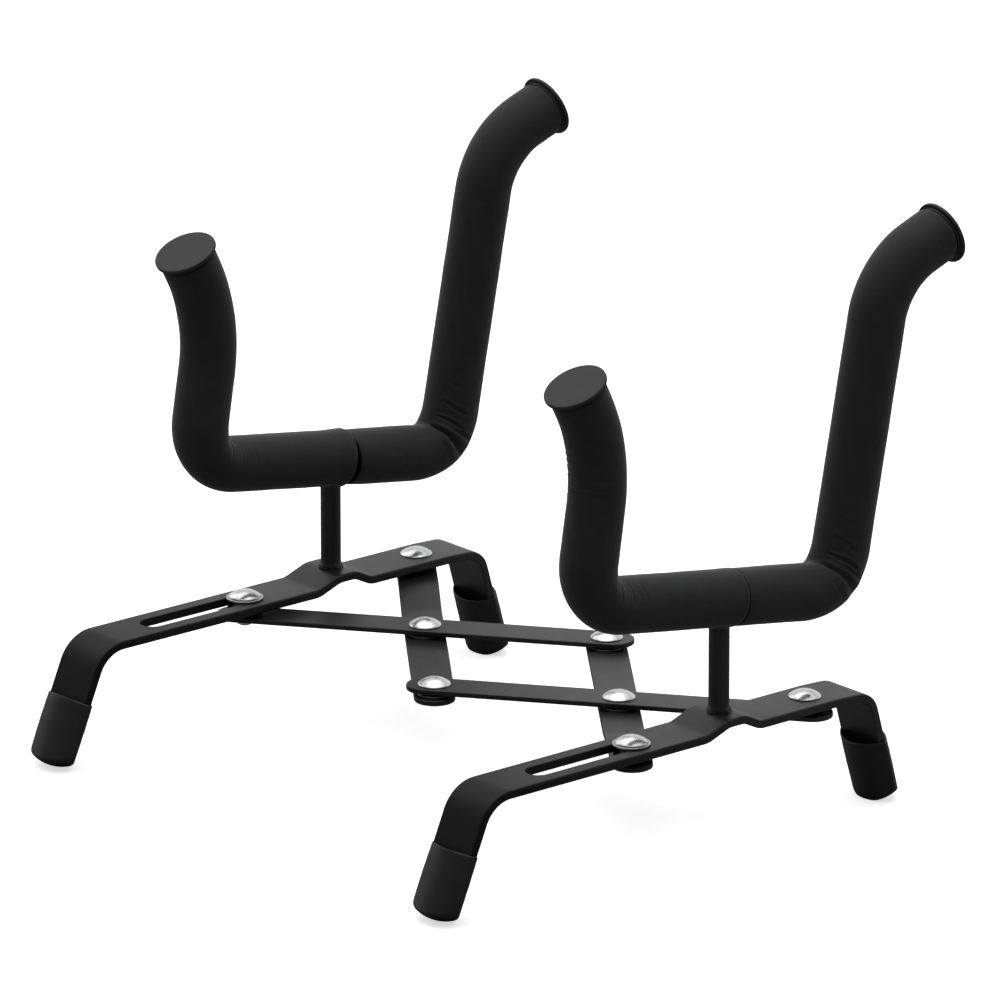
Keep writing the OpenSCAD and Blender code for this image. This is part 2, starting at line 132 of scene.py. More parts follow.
# ---------------------------------------------------------------- node trees
class Tree:
    """A short way to write a node tree.  Sources and results are output sockets."""

    def __init__(self, tree):
        self.tree = tree
        tree.nodes.clear()

    def add(self, kind, inputs=None, **props):
        node = self.tree.nodes.new(kind)
        for name, value in props.items():
            setattr(node, name, value)
        for name, value in (inputs or {}).items():
            node.inputs[name].default_value = value
        return node

    def link(self, source, node, socket):
        self.tree.links.new(source, node.inputs[socket])

    def ramp(self, source, stops):
        """stops: (position, colour or grey)."""
        node = self.add("ShaderNodeValToRGB")
        elements = node.color_ramp.elements
        elements.remove(elements[-1])
        elements[0].position = stops[0][0]
        elements[0].color = rgba(stops[0][1])
        for position, colour in stops[1:]:
            elements.new(position).color = rgba(colour)
        self.link(source, node, "Fac")
        return node.outputs["Color"]

    def remap(self, source, span, result, **props):
        """Carry the range span over to the range result."""
        limits = {"From Min": span[0], "From Max": span[1], "To Min": result[0], "To Max": result[1]}
        node = self.add("ShaderNodeMapRange", limits, **props)
        self.link(source, node, "Value")
        return node.outputs["Result"]

    def mix_shaders(self, factor, first, second):
        node = self.add("ShaderNodeMixShader")
        for socket, source in enumerate((factor, first, second)):
            self.link(source, node, socket)
        return node.outputs["Shader"]

    def camera_ray(self):
        return self.add("ShaderNodeLightPath").outputs["Is Camera Ray"]


class Material(Tree):
    """Node tree of a material with one principled shader."""

    def __init__(self, name):
        self.material = bpy.data.materials.new(name)
        self.material.use_nodes = True
        super().__init__(self.material.node_tree)
        self.out = self.add("ShaderNodeOutputMaterial")
        self.shader = self.add("ShaderNodeBsdfPrincipled")
        self.link(self.shader.outputs["BSDF"], self.out, "Surface")
        self.coords = self.add("ShaderNodeTexCoord").outputs["Object"]

    def noise(self, scale, detail, rough, distortion=0.0, stretch=None, turn=(0, 0, 0)):
        """Noise, on coordinates scaled by stretch and turned if stretch is given."""
        node = self.add("ShaderNodeTexNoise", {
            "Scale": scale, "Detail": detail, "Roughness": rough, "Distortion": distortion})
        coords = self.coords
        if stretch:
            mapping = self.add("ShaderNodeMapping", {"Scale": stretch, "Rotation": turn})
            self.link(coords, mapping, "Vector")
            coords = mapping.outputs["Vector"]
        self.link(coords, node, "Vector")
        return node.outputs["Fac"]

    def cells(self, scale):
        node = self.add("ShaderNodeTexVoronoi", {"Scale": scale}, feature="F1")
        self.link(self.coords, node, "Vector")
        return node.outputs["Distance"]

    def mix(self, factor, under, colour):
        """Lay a plain colour over the source under."""
        node = self.add("ShaderNodeMix", {7: rgba(colour)}, data_type="RGBA")
        self.link(factor, node, 0)
        self.link(under, node, 6)
        return node.outputs[2]

    def paint(self, colour):
        self.link(colour, self.shader, "Base Color")

    def roughness(self, cloud, low, high):
        """Roughness from low to high over the middle of a noise."""
        self.link(self.remap(cloud, span=(0.3, 0.75), result=(low, high)), self.shader, "Roughness")

    def bumps(self, *layers):
        """layers: (source, strength, distance in metres), finest last."""
        below = None
        for source, strength, distance in layers:
            node = self.add("ShaderNodeBump", {"Strength": strength, "Distance": distance})
            self.link(source, node, "Height")
            if below is not None:
                self.link(below, node, "Normal")
            below = node.outputs["Normal"]
        self.link(below, self.shader, "Normal")

    def settings(self, **values):
        """Shader inputs by name, with _ for each space."""
        for name, value in values.items():
            if hasattr(value, "__len__"):
                value = rgba(value)
            self.shader.inputs[name.replace("_", " ")].default_value = value


# ---------------------------------------------------------------- materials
def foam_material():
    m = Material("foam_sleeve")
    cloud = m.noise(scale=42, detail=5, rough=0.6, distortion=0.4)
    colour = m.ramp(cloud, [(0.3, (0.0165, 0.0168, 0.0173)), (0.72, (0.0245, 0.0249, 0.0257))])
    rubbed = m.noise(scale=16, detail=9, rough=0.68, distortion=0.9)
    rubbed = m.ramp(rubbed, [(0.60, 0.0), (0.72, 0.6)])
    colour = m.mix(rubbed, colour, (0.0320, 0.0324, 0.0334))
    specks = m.ramp(m.cells(scale=420), [(0.035, 0.5), (0.07, 0.0)])
    colour = m.mix(specks, colour, (0.030, 0.030, 0.031))
    # painted sheen: the skin's colour is made lighter where it is seen edge on, as a highlight along
    # the rims
    facing = m.add("ShaderNodeLayerWeight", {"Blend": 0.5}).outputs["Facing"]
    rim = m.ramp(facing, [(0.62, 0.0), (0.97, 0.85)])
    m.paint(m.mix(rim, colour, (0.075, 0.076, 0.078)))
    m.roughness(cloud, low=0.66, high=0.84)
    skin = m.noise(scale=2600, detail=3, rough=0.6)
    pores = m.cells(scale=1500)
    waves = m.noise(scale=230, detail=4, rough=0.55)
    m.bumps((waves, 0.22, 0.0006), (pores, 0.25, 0.00018), (skin, 0.45, 0.00016))
    m.settings(Specular_IOR_Level=0.34, Sheen_Weight=0.24, Sheen_Roughness=0.40,
               Sheen_Tint=(0.8, 0.82, 0.85))
    return m.material


def foam_painted_shade_material():
    """The cut ends and the bore, rough, in painted shade: near black as they lie in shade inside the
    joint and the bore; the foam itself is no darker there.
    """
    m = Material("foam_painted_shade_face")
    cells = m.cells(scale=1700)
    m.paint(m.ramp(cells, [(0.1, (0.0025, 0.0025, 0.0026)), (0.6, (0.0055, 0.0055, 0.0057))]))
    m.roughness(m.noise(scale=900, detail=4, rough=0.6), low=0.85, high=0.97)
    m.bumps((cells, 0.5, 0.0002))
    m.settings(Specular_IOR_Level=0.08)
    return m.material


def powder_material():
    m = Material("black_powder_coat")
    cloud = m.noise(scale=26, detail=6, rough=0.6, distortion=0.3)
    colour = m.ramp(cloud, [(0.3, (0.0085, 0.0088, 0.0092)), (0.75, (0.0130, 0.0133, 0.0140))])
    # broken wear along the edges
    pointiness = m.add("ShaderNodeNewGeometry").outputs["Pointiness"]
    edge = m.remap(pointiness, span=(0.53, 0.62), result=(0.0, 1.0))
    patches = m.noise(scale=420, detail=5, rough=0.7)
    patches = m.remap(patches, span=(0.48, 0.66), result=(0.0, 0.55))
    wear = m.add("ShaderNodeMath", operation="MULTIPLY")
    m.link(edge, wear, 0)
    m.link(patches, wear, 1)
    colour = m.mix(wear.outputs["Value"], colour, (0.045, 0.045, 0.047))
    # long scratches
    marks = m.noise(scale=55, detail=8, rough=0.75, distortion=0.2,
                    stretch=(1.0, 0.12, 1.0), turn=(0, 0, 0.5))
    marks = m.ramp(marks, [(0.70, 0.0), (0.75, 0.35)])
    m.paint(m.mix(marks, colour, (0.028, 0.028, 0.029)))
    m.roughness(cloud, low=0.36, high=0.47)
    peel = m.noise(scale=780, detail=2, rough=0.5)
    grain = m.noise(scale=3600, detail=2, rough=0.6)
    m.bumps((peel, 0.10, 0.0003), (grain, 0.16, 0.00012))
    # painted shade: the coat reflects less towards the front legs, so that they read darker, as the
    # light falls; span is y in metres
    place = m.add("ShaderNodeSeparateXYZ")
    m.link(m.coords, place, "Vector")
    painted_front_shade = m.remap(place.outputs["Y"], span=(-0.135, 0.06), result=(0.08, 0.64))
    m.link(painted_front_shade, m.shader, "Specular IOR Level")
    return m.material


def weld_material():
    m = Material("black_powder_coat_weld")
    cloud = m.noise(scale=300, detail=5, rough=0.6, distortion=0.3)
    m.paint(m.ramp(cloud, [(0.3, (0.003, 0.003, 0.0031)), (0.75, (0.006, 0.006, 0.0063))]))
    m.roughness(cloud, low=0.42, high=0.6)
    peel = m.noise(scale=900, detail=3, rough=0.5)
    m.bumps((cloud, 0.25, 0.0004), (peel, 0.15, 0.0002))
    return m.material


def cap_material():
    m = Material("end_cap_plastic")
    blotch = m.noise(scale=150, detail=7, rough=0.68, distortion=1.2)
    colour = m.ramp(blotch, [(0.34, (0.0150, 0.0155, 0.0168)), (0.66, (0.0300, 0.0305, 0.0325))])
    scuff = m.noise(scale=420, detail=6, rough=0.75, distortion=2.2)
    scuffed = m.ramp(scuff, [(0.58, 0.0), (0.70, 0.5)])
    m.paint(m.mix(scuffed, colour, (0.052, 0.0525, 0.0545)))
    m.roughness(blotch, low=0.48, high=0.66)
    fine = m.noise(scale=2400, detail=3, rough=0.6)
    m.bumps((scuff, 0.12, 0.0003), (fine, 0.28, 0.00014))
    m.settings(Specular_IOR_Level=0.42)
    return m.material


def foot_material():
    m = Material("foot_rubber")
    cloud = m.noise(scale=110, detail=6, rough=0.62, distortion=0.6)
    colour = m.ramp(cloud, [(0.3, (0.0095, 0.0097, 0.0100)), (0.72, (0.0150, 0.0152, 0.0158))])
    drag = m.noise(scale=320, detail=5, rough=0.7, distortion=0.3, stretch=(1.0, 1.0, 0.10))
    dragged = m.ramp(drag, [(0.56, 0.0), (0.70, 0.35)])
    m.paint(m.mix(dragged, colour, (0.022, 0.022, 0.023)))
    m.roughness(cloud, low=0.44, high=0.60)
    fine = m.noise(scale=1900, detail=3, rough=0.6)
    m.bumps((drag, 0.10, 0.0003), (fine, 0.30, 0.00014))
    m.settings(Specular_IOR_Level=0.46)
    return m.material


def chrome_material():
    m = Material("bright_rivet")
    cloud = m.noise(scale=260, detail=5, rough=0.6, distortion=0.5)
    colour = m.ramp(cloud, [(0.3, (0.68, 0.685, 0.69)), (0.7, (0.80, 0.805, 0.81))])
    spots = m.ramp(m.noise(scale=900, detail=6, rough=0.7), [(0.64, 0.0), (0.74, 0.55)])
    m.paint(m.mix(spots, colour, 0.42))
    m.roughness(cloud, low=0.24, high=0.34)
    dents = m.noise(scale=210, detail=2, rough=0.5)
    fine = m.noise(scale=1500, detail=4, rough=0.6)
    m.bumps((dents, 0.10, 0.0006), (fine, 0.05, 0.00012))
    m.settings(Metallic=1.0)
    return m.material


def zinc_material():
    m = Material("bright_washer")
    cloud = m.noise(scale=330, detail=6, rough=0.65, distortion=0.4)
    m.paint(m.ramp(cloud, [(0.3, (0.40, 0.40, 0.405)), (0.72, (0.60, 0.60, 0.605))]))
    m.roughness(cloud, low=0.26, high=0.40)
    turned = m.noise(scale=1800, detail=3, rough=0.6, stretch=(1.0, 1.0, 6.0))
    m.bumps((cloud, 0.06, 0.0003), (turned, 0.12, 0.0001))
    m.settings(Metallic=1.0)
    return m.material


def nylon_material():
    m = Material("black_nylon")
    cloud = m.noise(scale=300, detail=5, rough=0.6, distortion=0.3)
    m.paint(m.ramp(cloud, [(0.3, (0.0085, 0.0085, 0.0088)), (0.72, (0.014, 0.014, 0.0145))]))
    m.roughness(cloud, low=0.20, high=0.32)
    m.bumps((m.noise(scale=2200, detail=3, rough=0.6), 0.12, 0.0001))
    m.settings(Specular_IOR_Level=0.6)
    return m.material


FOAM = foam_material()
FOAM_PAINTED_SHADE = foam_painted_shade_material()
POWDER = powder_material()
WELD = weld_material()
CAP = cap_material()
FOOT = foot_material()
CHROME = chrome_material()
ZINC = zinc_material()
NYLON = nylon_material()


# ---------------------------------------------------------------- mesh tools
BODY_OF = {node: body for body, nodes in frame["record"]["behaviour"]["bodies"].items()
           for node in nodes}


def add_object(name, data):
    thing = bpy.data.objects.new(name, data)
    bpy.context.scene.collection.objects.link(thing)
    return thing


def stand_for(thing, node):
    """Let an object take the place of a CAD piece."""
    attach(thing, BODY_OF[node])
    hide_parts(node)


def add_piece(name, node, verts, faces, materials, sharp=None, pick=None):
    """Smooth-shaded mesh.  With sharp (degrees) its normals are put right and
    its creases kept; pick(face) gives a face's material index."""
    mesh = bpy.data.meshes.new(name)
    mesh.from_pydata((np.asarray(verts, float) * MM).tolist(), [], faces)
    if sharp is not None:
        bm = bmesh.new()
        bm.from_mesh(mesh)
        bmesh.ops.recalc_face_normals(bm, faces=bm.faces[:])
        bm.to_mesh(mesh)
        bm.free()
    for material in materials:
        mesh.materials.append(material)
    if pick is not None:
        mesh.polygons.foreach_set("material_index", [pick(face) for face in mesh.polygons])
    mesh.shade_smooth()
    if sharp is not None:
        mesh.set_sharp_from_angle(angle=radians(sharp))
    mesh.update()
    stand_for(add_object(name, mesh), node)


def grid_faces(rows, cols, wrap_rows=False):
    """Quads between rings of cols points; rings close on themselves."""
    i = np.arange(rows if wrap_rows else rows - 1)[:, None]
    j = np.arange(cols)[None, :]
    i2, j2 = (i + 1) % rows, (j + 1) % cols
    quads = np.stack([i * cols + j, i * cols + j2, i2 * cols + j2, i2 * cols + j], -1)
    return quads.reshape(-1, 4).tolist()


def axes_about(axis):
    """Two unit vectors square to an axis, and the axis made a unit vector."""
    axis = np.asarray(axis, float)
    axis = axis / np.linalg.norm(axis)
    helper = np.array([1.0, 0, 0]) if abs(axis[0]) < 0.9 else np.array([0, 1.0, 0])
    first = np.cross(helper, axis)
    first /= np.linalg.norm(first)
    return first, np.cross(axis, first), axis


def turned_piece(name, node, profile, centre, materials, sharp,
                 axis=(0, 0, 1), cols=96, wobble=None, pick=None):
    """Closed solid of revolution.  profile is [(radius, height)], going round
    the section; a radius of 0 makes a pole.  wobble(angles, radius, height)
    gives a factor on the radius."""
    first, second, axis = axes_about(axis)
    centre = np.asarray(centre, float)
    angles = np.linspace(0, 2 * pi, cols, endpoint=False)
    circle = np.cos(angles)[:, None] * first + np.sin(angles)[:, None] * second
    verts, rows = [], []
    for radius, height in profile:
        middle = centre + height * axis
        if radius <= 1e-9:
            rows.append([len(verts)])
            verts.append(middle)
        else:
            factor = wobble(angles, radius, height) if wobble else np.ones(cols)
            rows.append(list(range(len(verts), len(verts) + cols)))
            verts.extend(middle + circle * (radius * factor)[:, None])
    pairs = list(zip(rows, rows[1:]))
    if len(rows[0]) > 1 and len(rows[-1]) > 1:
        pairs.append((rows[-1], rows[0]))
    faces = []
    for a, b in pairs:
        for j in range(cols):
            k = (j + 1) % cols
            if len(a) == 1:
                faces.append((a[0], b[k], b[j]))
            elif len(b) == 1:
                faces.append((a[j], a[k], b[0]))
            else:
                faces.append((a[j], a[k], b[k], b[j]))
    add_piece(name, node, verts, faces, materials, sharp, pick)


def out_of_round(two, three, phase, ratio):
    """Wobble with two lobes and three lobes, the second phase ratio times the first."""
    def wobble(angles, radius, height):
        return 1 + two * np.sin(2 * angles + phase) + three * np.sin(3 * angles + ratio * phase)
    return wobble


def arc(x, y, radius, start, end, steps):
    """Points on a small rounding about (x, y), angles in degrees."""
    turns = [radians(start + (end - start) * k / steps) for k in range(steps + 1)]
    return [(x + radius * cos(turn), y + radius * sin(turn)) for turn in turns]


# ---------------------------------------------------------------- bent paths
# at is the distance along the path where the segment starts; runs have no turn
Segment = namedtuple("Segment", "at length start heading turn radius")


class Path:
    """Straight runs and arcs in a stand's side plane, by distance along it.
    Points are (y from the post, z); radii are those of the inner points."""

    def __init__(self, points, radii):
        points = [np.asarray(p, float) for p in points]
        self.segments = []
        self.bends = {}  # by the index of the point
        at, start = 0.0, points[0]
        last = len(points) - 1
        for i in range(1, len(points)):
            step = points[i] - points[i - 1]
            heading = atan2(step[1], step[0])
            end = points[i]
            if i < last:
                radius = radii[i - 1]
                ahead = points[i + 1] - points[i]
                turn = wrap(atan2(ahead[1], ahead[0]) - heading)
                cut = radius * tan(abs(turn) / 2)
                end = points[i] - cut * unit(heading)
            run = float(np.linalg.norm(end - start))
            self.segments.append(Segment(at, run, start, heading, 0.0, 0.0))
            at += run
            if i < last:
                bend = Segment(at, radius * abs(turn), end, heading, turn, radius)
                self.segments.append(bend)
                self.bends[i] = bend
                at += bend.length
                start = points[i] + cut * unit(heading + turn)
        self.length = at

    def locate(self, distances):
        """Position (..., 2) and heading (...) at distances along the path."""
        distances = np.asarray(distances, float)
        places = np.zeros(distances.shape + (2,))
        headings = np.zeros(distances.shape)
        for k, seg in enumerate(self.segments):
            low = -np.inf if k == 0 else seg.at
            high = np.inf if k == len(self.segments) - 1 else seg.at + seg.length
            here = (distances >= low) & (distances < high)
            t = distances[here] - seg.at
            if not seg.turn:
                places[here] = seg.start + t[:, None] * unit(seg.heading)
                headings[here] = seg.heading
                continue
            reach = seg.radius if seg.turn > 0 else -seg.radius
            centre = seg.start + reach * np.array([-sin(seg.heading), cos(seg.heading)])
            turned = seg.heading + t / reach
            places[here] = centre + reach * np.stack([np.sin(turned), -np.cos(turned)], -1)
            headings[here] = turned
        return places, headings


def lean(angle):
    """Unit vector (y, z) leaning to the rear from straight up, in degrees."""
    return np.array([sin(radians(angle)), cos(radians(angle))])


# strip centre line, from the front leg's end to the rear leg's
FRONT_BEND = np.array([-FRONT_REACH, STRIP_MID])
REAR_BEND = np.array([REAR_REACH, STRIP_MID - REAR_DROP])
STRIP = Path([
    FRONT_BEND + (FRONT_BEND[1] - LEG_END_H) * np.array([-tan(FRONT_RAKE), -1]),
    FRONT_BEND,
    (-SEAT_FLAT / 2 - SEAT_FRONT, STRIP_MID),
    (-SEAT_FLAT / 2, STRIP_MID + SEAT_RISE),
    (SEAT_FLAT / 2, STRIP_MID + SEAT_RISE),
    (SEAT_FLAT / 2 + SEAT_REAR, STRIP_MID),
    (PITCH / 2 + 9, STRIP_MID),  # the rear run starts to fall 9 behind the rivet
    REAR_BEND,
    REAR_BEND + (REAR_BEND[1] - LEG_END_H) * np.array([tan(REAR_RAKE), -1]),
], [16, 12, 12, 9, 9, 60, 10])
FRONT_RUN, REAR_RUN = STRIP.segments[2], STRIP.segments[10]  # level runs with rivets

# cradle centre line: a sloping bottom and two arms whose tips bend outwards
BOTTOM_SLOPE = tan(radians(8.8))
FRONT_CORNER_Y, REAR_CORNER_Y = -76.7, 65.7  # from the post
FRONT_ARM, FRONT_TIP = 67.9, 35.5
REAR_ARM, REAR_TIP = 139.6, 36.0
CORNER_R, FRONT_TIP_R, REAR_TIP_R = 20.9, 79.0, 37.0
FRONT_DIR, REAR_DIR = lean(-26.4), lean(70)  # of the tips
LOWER_FRONT = np.array([FRONT_CORNER_Y, CRADLE_H - FRONT_CORNER_Y * BOTTOM_SLOPE])
LOWER_REAR = np.array([REAR_CORNER_Y, CRADLE_H - REAR_CORNER_Y * BOTTOM_SLOPE])
UPPER_FRONT = LOWER_FRONT + FRONT_ARM * lean(9.4)
UPPER_REAR = LOWER_REAR + REAR_ARM * lean(11.1)
TIP_FRONT = UPPER_FRONT + FRONT_TIP * FRONT_DIR
TIP_REAR = UPPER_REAR + REAR_TIP * REAR_DIR
ROD_FRONT, ROD_REAR = TIP_FRONT - CAP_T * FRONT_DIR, TIP_REAR - CAP_T * REAR_DIR
BOTTOM_DIR = (LOWER_REAR - LOWER_FRONT) / np.linalg.norm(LOWER_REAR - LOWER_FRONT)
JOINT_RUN = FOAM_JOINT / BOTTOM_DIR[0]  # from the post to the joint, along the rod
JOINT = np.array([0, CRADLE_H]) + JOINT_RUN * BOTTOM_DIR
FRONT_PATH = Path([ROD_FRONT, UPPER_FRONT, LOWER_FRONT, JOINT], [FRONT_TIP_R, CORNER_R])
REAR_PATH = Path([JOINT + FOAM_GAP * BOTTOM_DIR, LOWER_REAR, UPPER_REAR, ROD_REAR],
                 [CORNER_R, REAR_TIP_R])


# ---------------------------------------------------------------- foam sleeves
# In these functions along is the distance along the sleeve's path and around
# the angle about it: 0 on the left of its heading, growing towards +x.
# A fold line runs from inner_at on a bend's inner side to outer_at on its outer
# side, and shows between two angles (radians) from the inner side.
Fold = namedtuple("Fold", "inner_at outer_at angle_from angle_to depth width seed ridge")


def angle_from_inner(around, turn):
    return wrap(around if turn > 0 else around - pi)


def ripple(along, around, seed, shortest, longest):
    """Smooth deterministic unevenness over a sleeve's skin, about -1 to 1."""
    rng = np.random.RandomState(seed)
    waves = 9
    total = np.zeros_like(along)
    for _ in range(waves):
        height = rng.uniform(0.5, 1.0)
        length = rng.uniform(shortest, longest)
        lobes = rng.choice((0, 1, 2, 3))
        total += height * np.sin(2 * pi * along / length + lobes * around + rng.uniform(0, 6.28))
    return total / (0.55 * waves)


def fold_height(along, angle, fold):
    """Change of radius from one fold line: a groove with a ridge on each side."""
    rng = np.random.RandomState(fold.seed)
    across = 0.5 - 0.5 * np.cos(angle)
    line = fold.inner_at + (fold.outer_at - fold.inner_at) * across
    for k in (2, 3, 5):
        line = line + rng.uniform(-0.35, 0.35) * np.sin(k * angle + rng.uniform(0, 6.28))
    middle = (fold.angle_from + fold.angle_to) / 2
    span = abs(fold.angle_to - fold.angle_from) / 2
    window = smooth((span - np.abs(angle - middle)) / (0.45 * span))
    off = along - line
    width = fold.width
    groove = np.exp(-((off / width) ** 2))
    lip = np.where(off > 0, 1.0, 0.35)
    lip = lip * np.exp(-(((np.abs(off) - 2.0 * width) / (1.15 * width)) ** 2))
    return -fold.depth * window * (groove - fold.ridge * lip)


def corner_shape(along, around, corner, outer_bulge):
    """Change of radius at the tight lower corner: the inner side is squeezed
    into a fold, and the foam beside it swells a little."""
    turn = abs(corner.turn)
    inner = angle_from_inner(around, corner.turn)
    past = along - corner.at
    phi = np.clip(past / corner.length, 0, 1) * turn - turn / 2
    inner_r = corner.radius - FOAM_R
    soft = np.sqrt(phi**2 + 0.09**2) - 0.045
    squeeze = inner_r / np.cos(np.clip(turn / 2 - soft, 0, 1.4)) - inner_r
    inside = ((along > corner.at) & (along < corner.at + corner.length)).astype(float)
    change = -squeeze * inside * np.clip(np.cos(inner), 0, 1) ** 2.2
    swell = np.exp(-(((past - corner.length / 2) / (0.55 * corner.length)) ** 2))
    change += 0.55 * swell * np.clip(np.sin(np.abs(inner)), 0, 1) ** 3
    bulge = np.exp(-(((past - 0.52 * corner.length) / (0.26 * corner.length)) ** 2))
    return change + outer_bulge * bulge * np.clip(-np.cos(inner), 0, 1) ** 2


def post_pull(along, around, post_at):
    """Foam drawn down a little where the post comes up into it."""
    under = wrap(around - pi)
    distance = np.hypot(along - post_at, FOAM_R * under)
    pull = 0.55 * np.exp(-(np.clip(distance - POST_D / 2, 0, 99) / 1.1) ** 2)
    return pull * (np.abs(under) < 1.2)


def sleeve_stations(length, corner):
    """Distances of the rings, closer round the tight corner and at the ends."""
    stations = []
    s = 0.0
    while s < length:
        stations.append(s)
        if corner.at - 16 < s < corner.at + corner.length + 22:
            s += 0.5
        elif s < 5 or s > length - 7:
            s += 0.45
        else:
            s += 0.85
    return np.array(stations + [length])


def points_about(path, x0, along, around, radius):
    """Points at a radius about a path."""
    place, heading = path.locate(along)
    points = np.zeros(around.shape + (3,))
    points[..., 0] = x0 + radius * np.sin(around)
    points[..., 1] = POST_Y + place[..., 0] - radius * np.cos(around) * np.sin(heading)
    points[..., 2] = place[..., 1] + radius * np.cos(around) * np.cos(heading)
    return points


def foam_sleeve(name, node, path, x0, seed, ends, folds, corner, post_at=None, outer_bulge=0.0):
    """Swept sleeve with a bore.  ends(along, around, radius) gives the radius
    and a shift along the path, folds is a list of (bend turn, fold lines)."""
    cols = 128
    angles = np.linspace(0, 2 * pi, cols, endpoint=False)
    along, around = np.meshgrid(sleeve_stations(path.length, corner), angles, indexing="ij")
    around = wrap(around)
    radius = np.full_like(along, FOAM_R)
    radius += 0.10 * ripple(along, around, seed, shortest=22, longest=70)
    radius += 0.035 * ripple(along, around, seed + 1, shortest=6, longest=16)
    radius += corner_shape(along, around, corner, outer_bulge)
    for turn, lines in folds:
        angle = angle_from_inner(around, turn)
        for line in lines:
            radius += fold_height(along, angle, line)
    radius, shift = ends(along, around, radius)
    if post_at is not None:
        radius += post_pull(along, around, post_at)
    skin = points_about(path, x0, along + shift, around, radius)
    # the bore is swept back from the far end
    stations = np.concatenate([[path.length], np.arange(path.length - 1.0, 1.0, -2.0), [0.0]])
    along, around = np.meshgrid(stations, around[0], indexing="ij")
    bore = points_about(path, x0, along, around, BORE_R)
    skin_faces = (len(skin) - 1) * cols
    # the ends and the bore take the near-black painted shade material
    add_piece(name, node, np.concatenate([skin.reshape(-1, 3), bore.reshape(-1, 3)]),
              grid_faces(len(skin) + len(bore), cols, wrap_rows=True), [FOAM, FOAM_PAINTED_SHADE],
              pick=lambda face: int(face.index >= skin_faces))


def round_end(x, radius):
    """Radius lost to a rounding, x away from the end."""
    x = np.clip(x, 0, radius)
    return radius - np.sqrt(np.maximum(radius * radius - (radius - x) ** 2, 0))


def top_end(radius, from_top):
    """Narrowed and rounded end under the cap."""
    return radius - 0.9 * (1 - smooth(from_top / 2.2)) - round_end(from_top, 0.8)


def open_joint(side, around):
    """How far each sleeve end stands back from the joint, by angle: a crescent
    on the left stand, a slit on the lower half of the right one."""
    if side == "left":
        facing = np.clip(np.cos((around - radians(122)) * 0.84), 0, 1)
        return 1.70 * facing**1.25 + 0.02
    facing = np.clip(np.cos((np.abs(around) - radians(150)) * 1.15), 0, 1)
    return 0.42 * facing**1.5 - 0.02


def front_ends(side):
    swell, rounding = (0.55, 0.9) if side == "left" else (0.15, 0.7)

    def ends(along, around, radius):
        from_joint = FRONT_PATH.length - along
        radius = top_end(radius, along)
        radius = radius + swell * smooth(1 - from_joint / 12.0) - round_end(from_joint, rounding)
        return radius, -open_joint(side, around) * smooth(1 - from_joint / 9.0)
    return ends


def rear_ends(side):
    def ends(along, around, radius):
        radius = top_end(radius, REAR_PATH.length - along)
        radius = radius - 0.15 * (1 - smooth(along / 3.2)) - round_end(along, 0.35)
        if side == "left":
            radius = radius - 0.30 * (1 - smooth(along / 14.0))
        return radius, open_joint(side, around) * smooth(1 - along / 9.0)
    return ends


# fold lines at the lower corners: place on the inner side and on the outer side
# as parts of the bend's length, from angle, to angle, depth, width, ridge
REAR_FOLDS = [  # one deep fold, with shallow ones beside it
    (0.52, 0.55, 0.12, 2.55, 1.45, 1.35, 0.25),
    (0.70, 0.68, 1.05, 2.25, 0.55, 0.75, 0.55),
    (0.84, 0.62, 0.30, 1.75, 0.70, 1.00, 0.45),
    (1.16, 0.74, 0.40, 1.50, 0.38, 0.85, 0.55),
    (1.50, 0.92, 0.45, 1.15, 0.16, 0.80, 0.55),
    (0.30, 0.42, 0.95, 2.10, 0.14, 0.90, 0.50),
]
FRONT_FOLDS = [
    (0.52, 0.72, 0.15, 1.60, 0.50, 0.80, 0.35),
    (0.84, 0.92, 0.35, 1.35, 0.24, 0.60, 0.40),
    (1.10, 1.22, 0.45, 1.25, 0.14, 0.60, 0.40),
    (0.36, 0.44, 0.45, 1.30, 0.20, 0.70, 0.40),
]


def corner_folds(bend, rows, seed, depth_scale, reach, depths, left_from=0.0, first_moves=True):
    """Fold lines on the right and then the left of a lower corner.  reach and
    depths are the ranges of the random factors, left_from is the least angle
    at which a line starts on the left."""
    rng = np.random.RandomState(seed)
    folds = []
    for side in (1, -1):
        for i, (inner, outer, start, end, depth, width, ridge) in enumerate(rows):
            move = rng.uniform(-0.6, 0.6) if i or first_moves else 0.0
            if side < 0:
                start = max(start, left_from)
            end = max(start + 0.3, end) * rng.uniform(*reach)
            low, high = sorted((side * start, side * end))
            folds.append(Fold(
                bend.at + inner * bend.length + move, bend.at + outer * bend.length + move,
                low, high, depth * depth_scale * rng.uniform(*depths), width,
                seed + 10 * i + (side > 0), ridge))
    return folds


def arm_folds(bend, seed, depth_scale, count, first, last):
    """Short fine folds across the front arm at its upper bend, between two
    places given as parts of the bend's length."""
    rng = np.random.RandomState(seed)
    start, end = bend.at + first * bend.length, bend.at + last * bend.length
    folds = []
    for side in (1, -1):
        for i in range(count):
            s = start + (end - start) * (i + rng.uniform(-0.35, 0.35)) / (count - 1)
            angle = rng.choice([-0.55, -0.35, 0.1, 0.5])
            low, high = sorted((side * angle, side * (angle + rng.uniform(0.9, 1.5))))
            folds.append(Fold(
                inner_at=s, outer_at=s + rng.uniform(5.0, 11.0), angle_from=low, angle_to=high,
                depth=depth_scale * rng.uniform(0.16, 0.40), width=rng.uniform(0.45, 0.7),
                seed=seed + i, ridge=0.45))
    return folds


FRONT_CORNER, REAR_CORNER = FRONT_PATH.bends[2], REAR_PATH.bends[1]
FRONT_UPPER = FRONT_PATH.bends[1]
# seed, depth scale of the front and rear corner folds, and the arm folds
SLEEVES = {
    "left": (100, 0.8, 1.0, dict(depth_scale=0.25, count=3, first=0.4, last=0.9)),
    "right": (300, 1.2, 0.9, dict(depth_scale=1.0, count=8, first=0.22, last=0.82)),
}

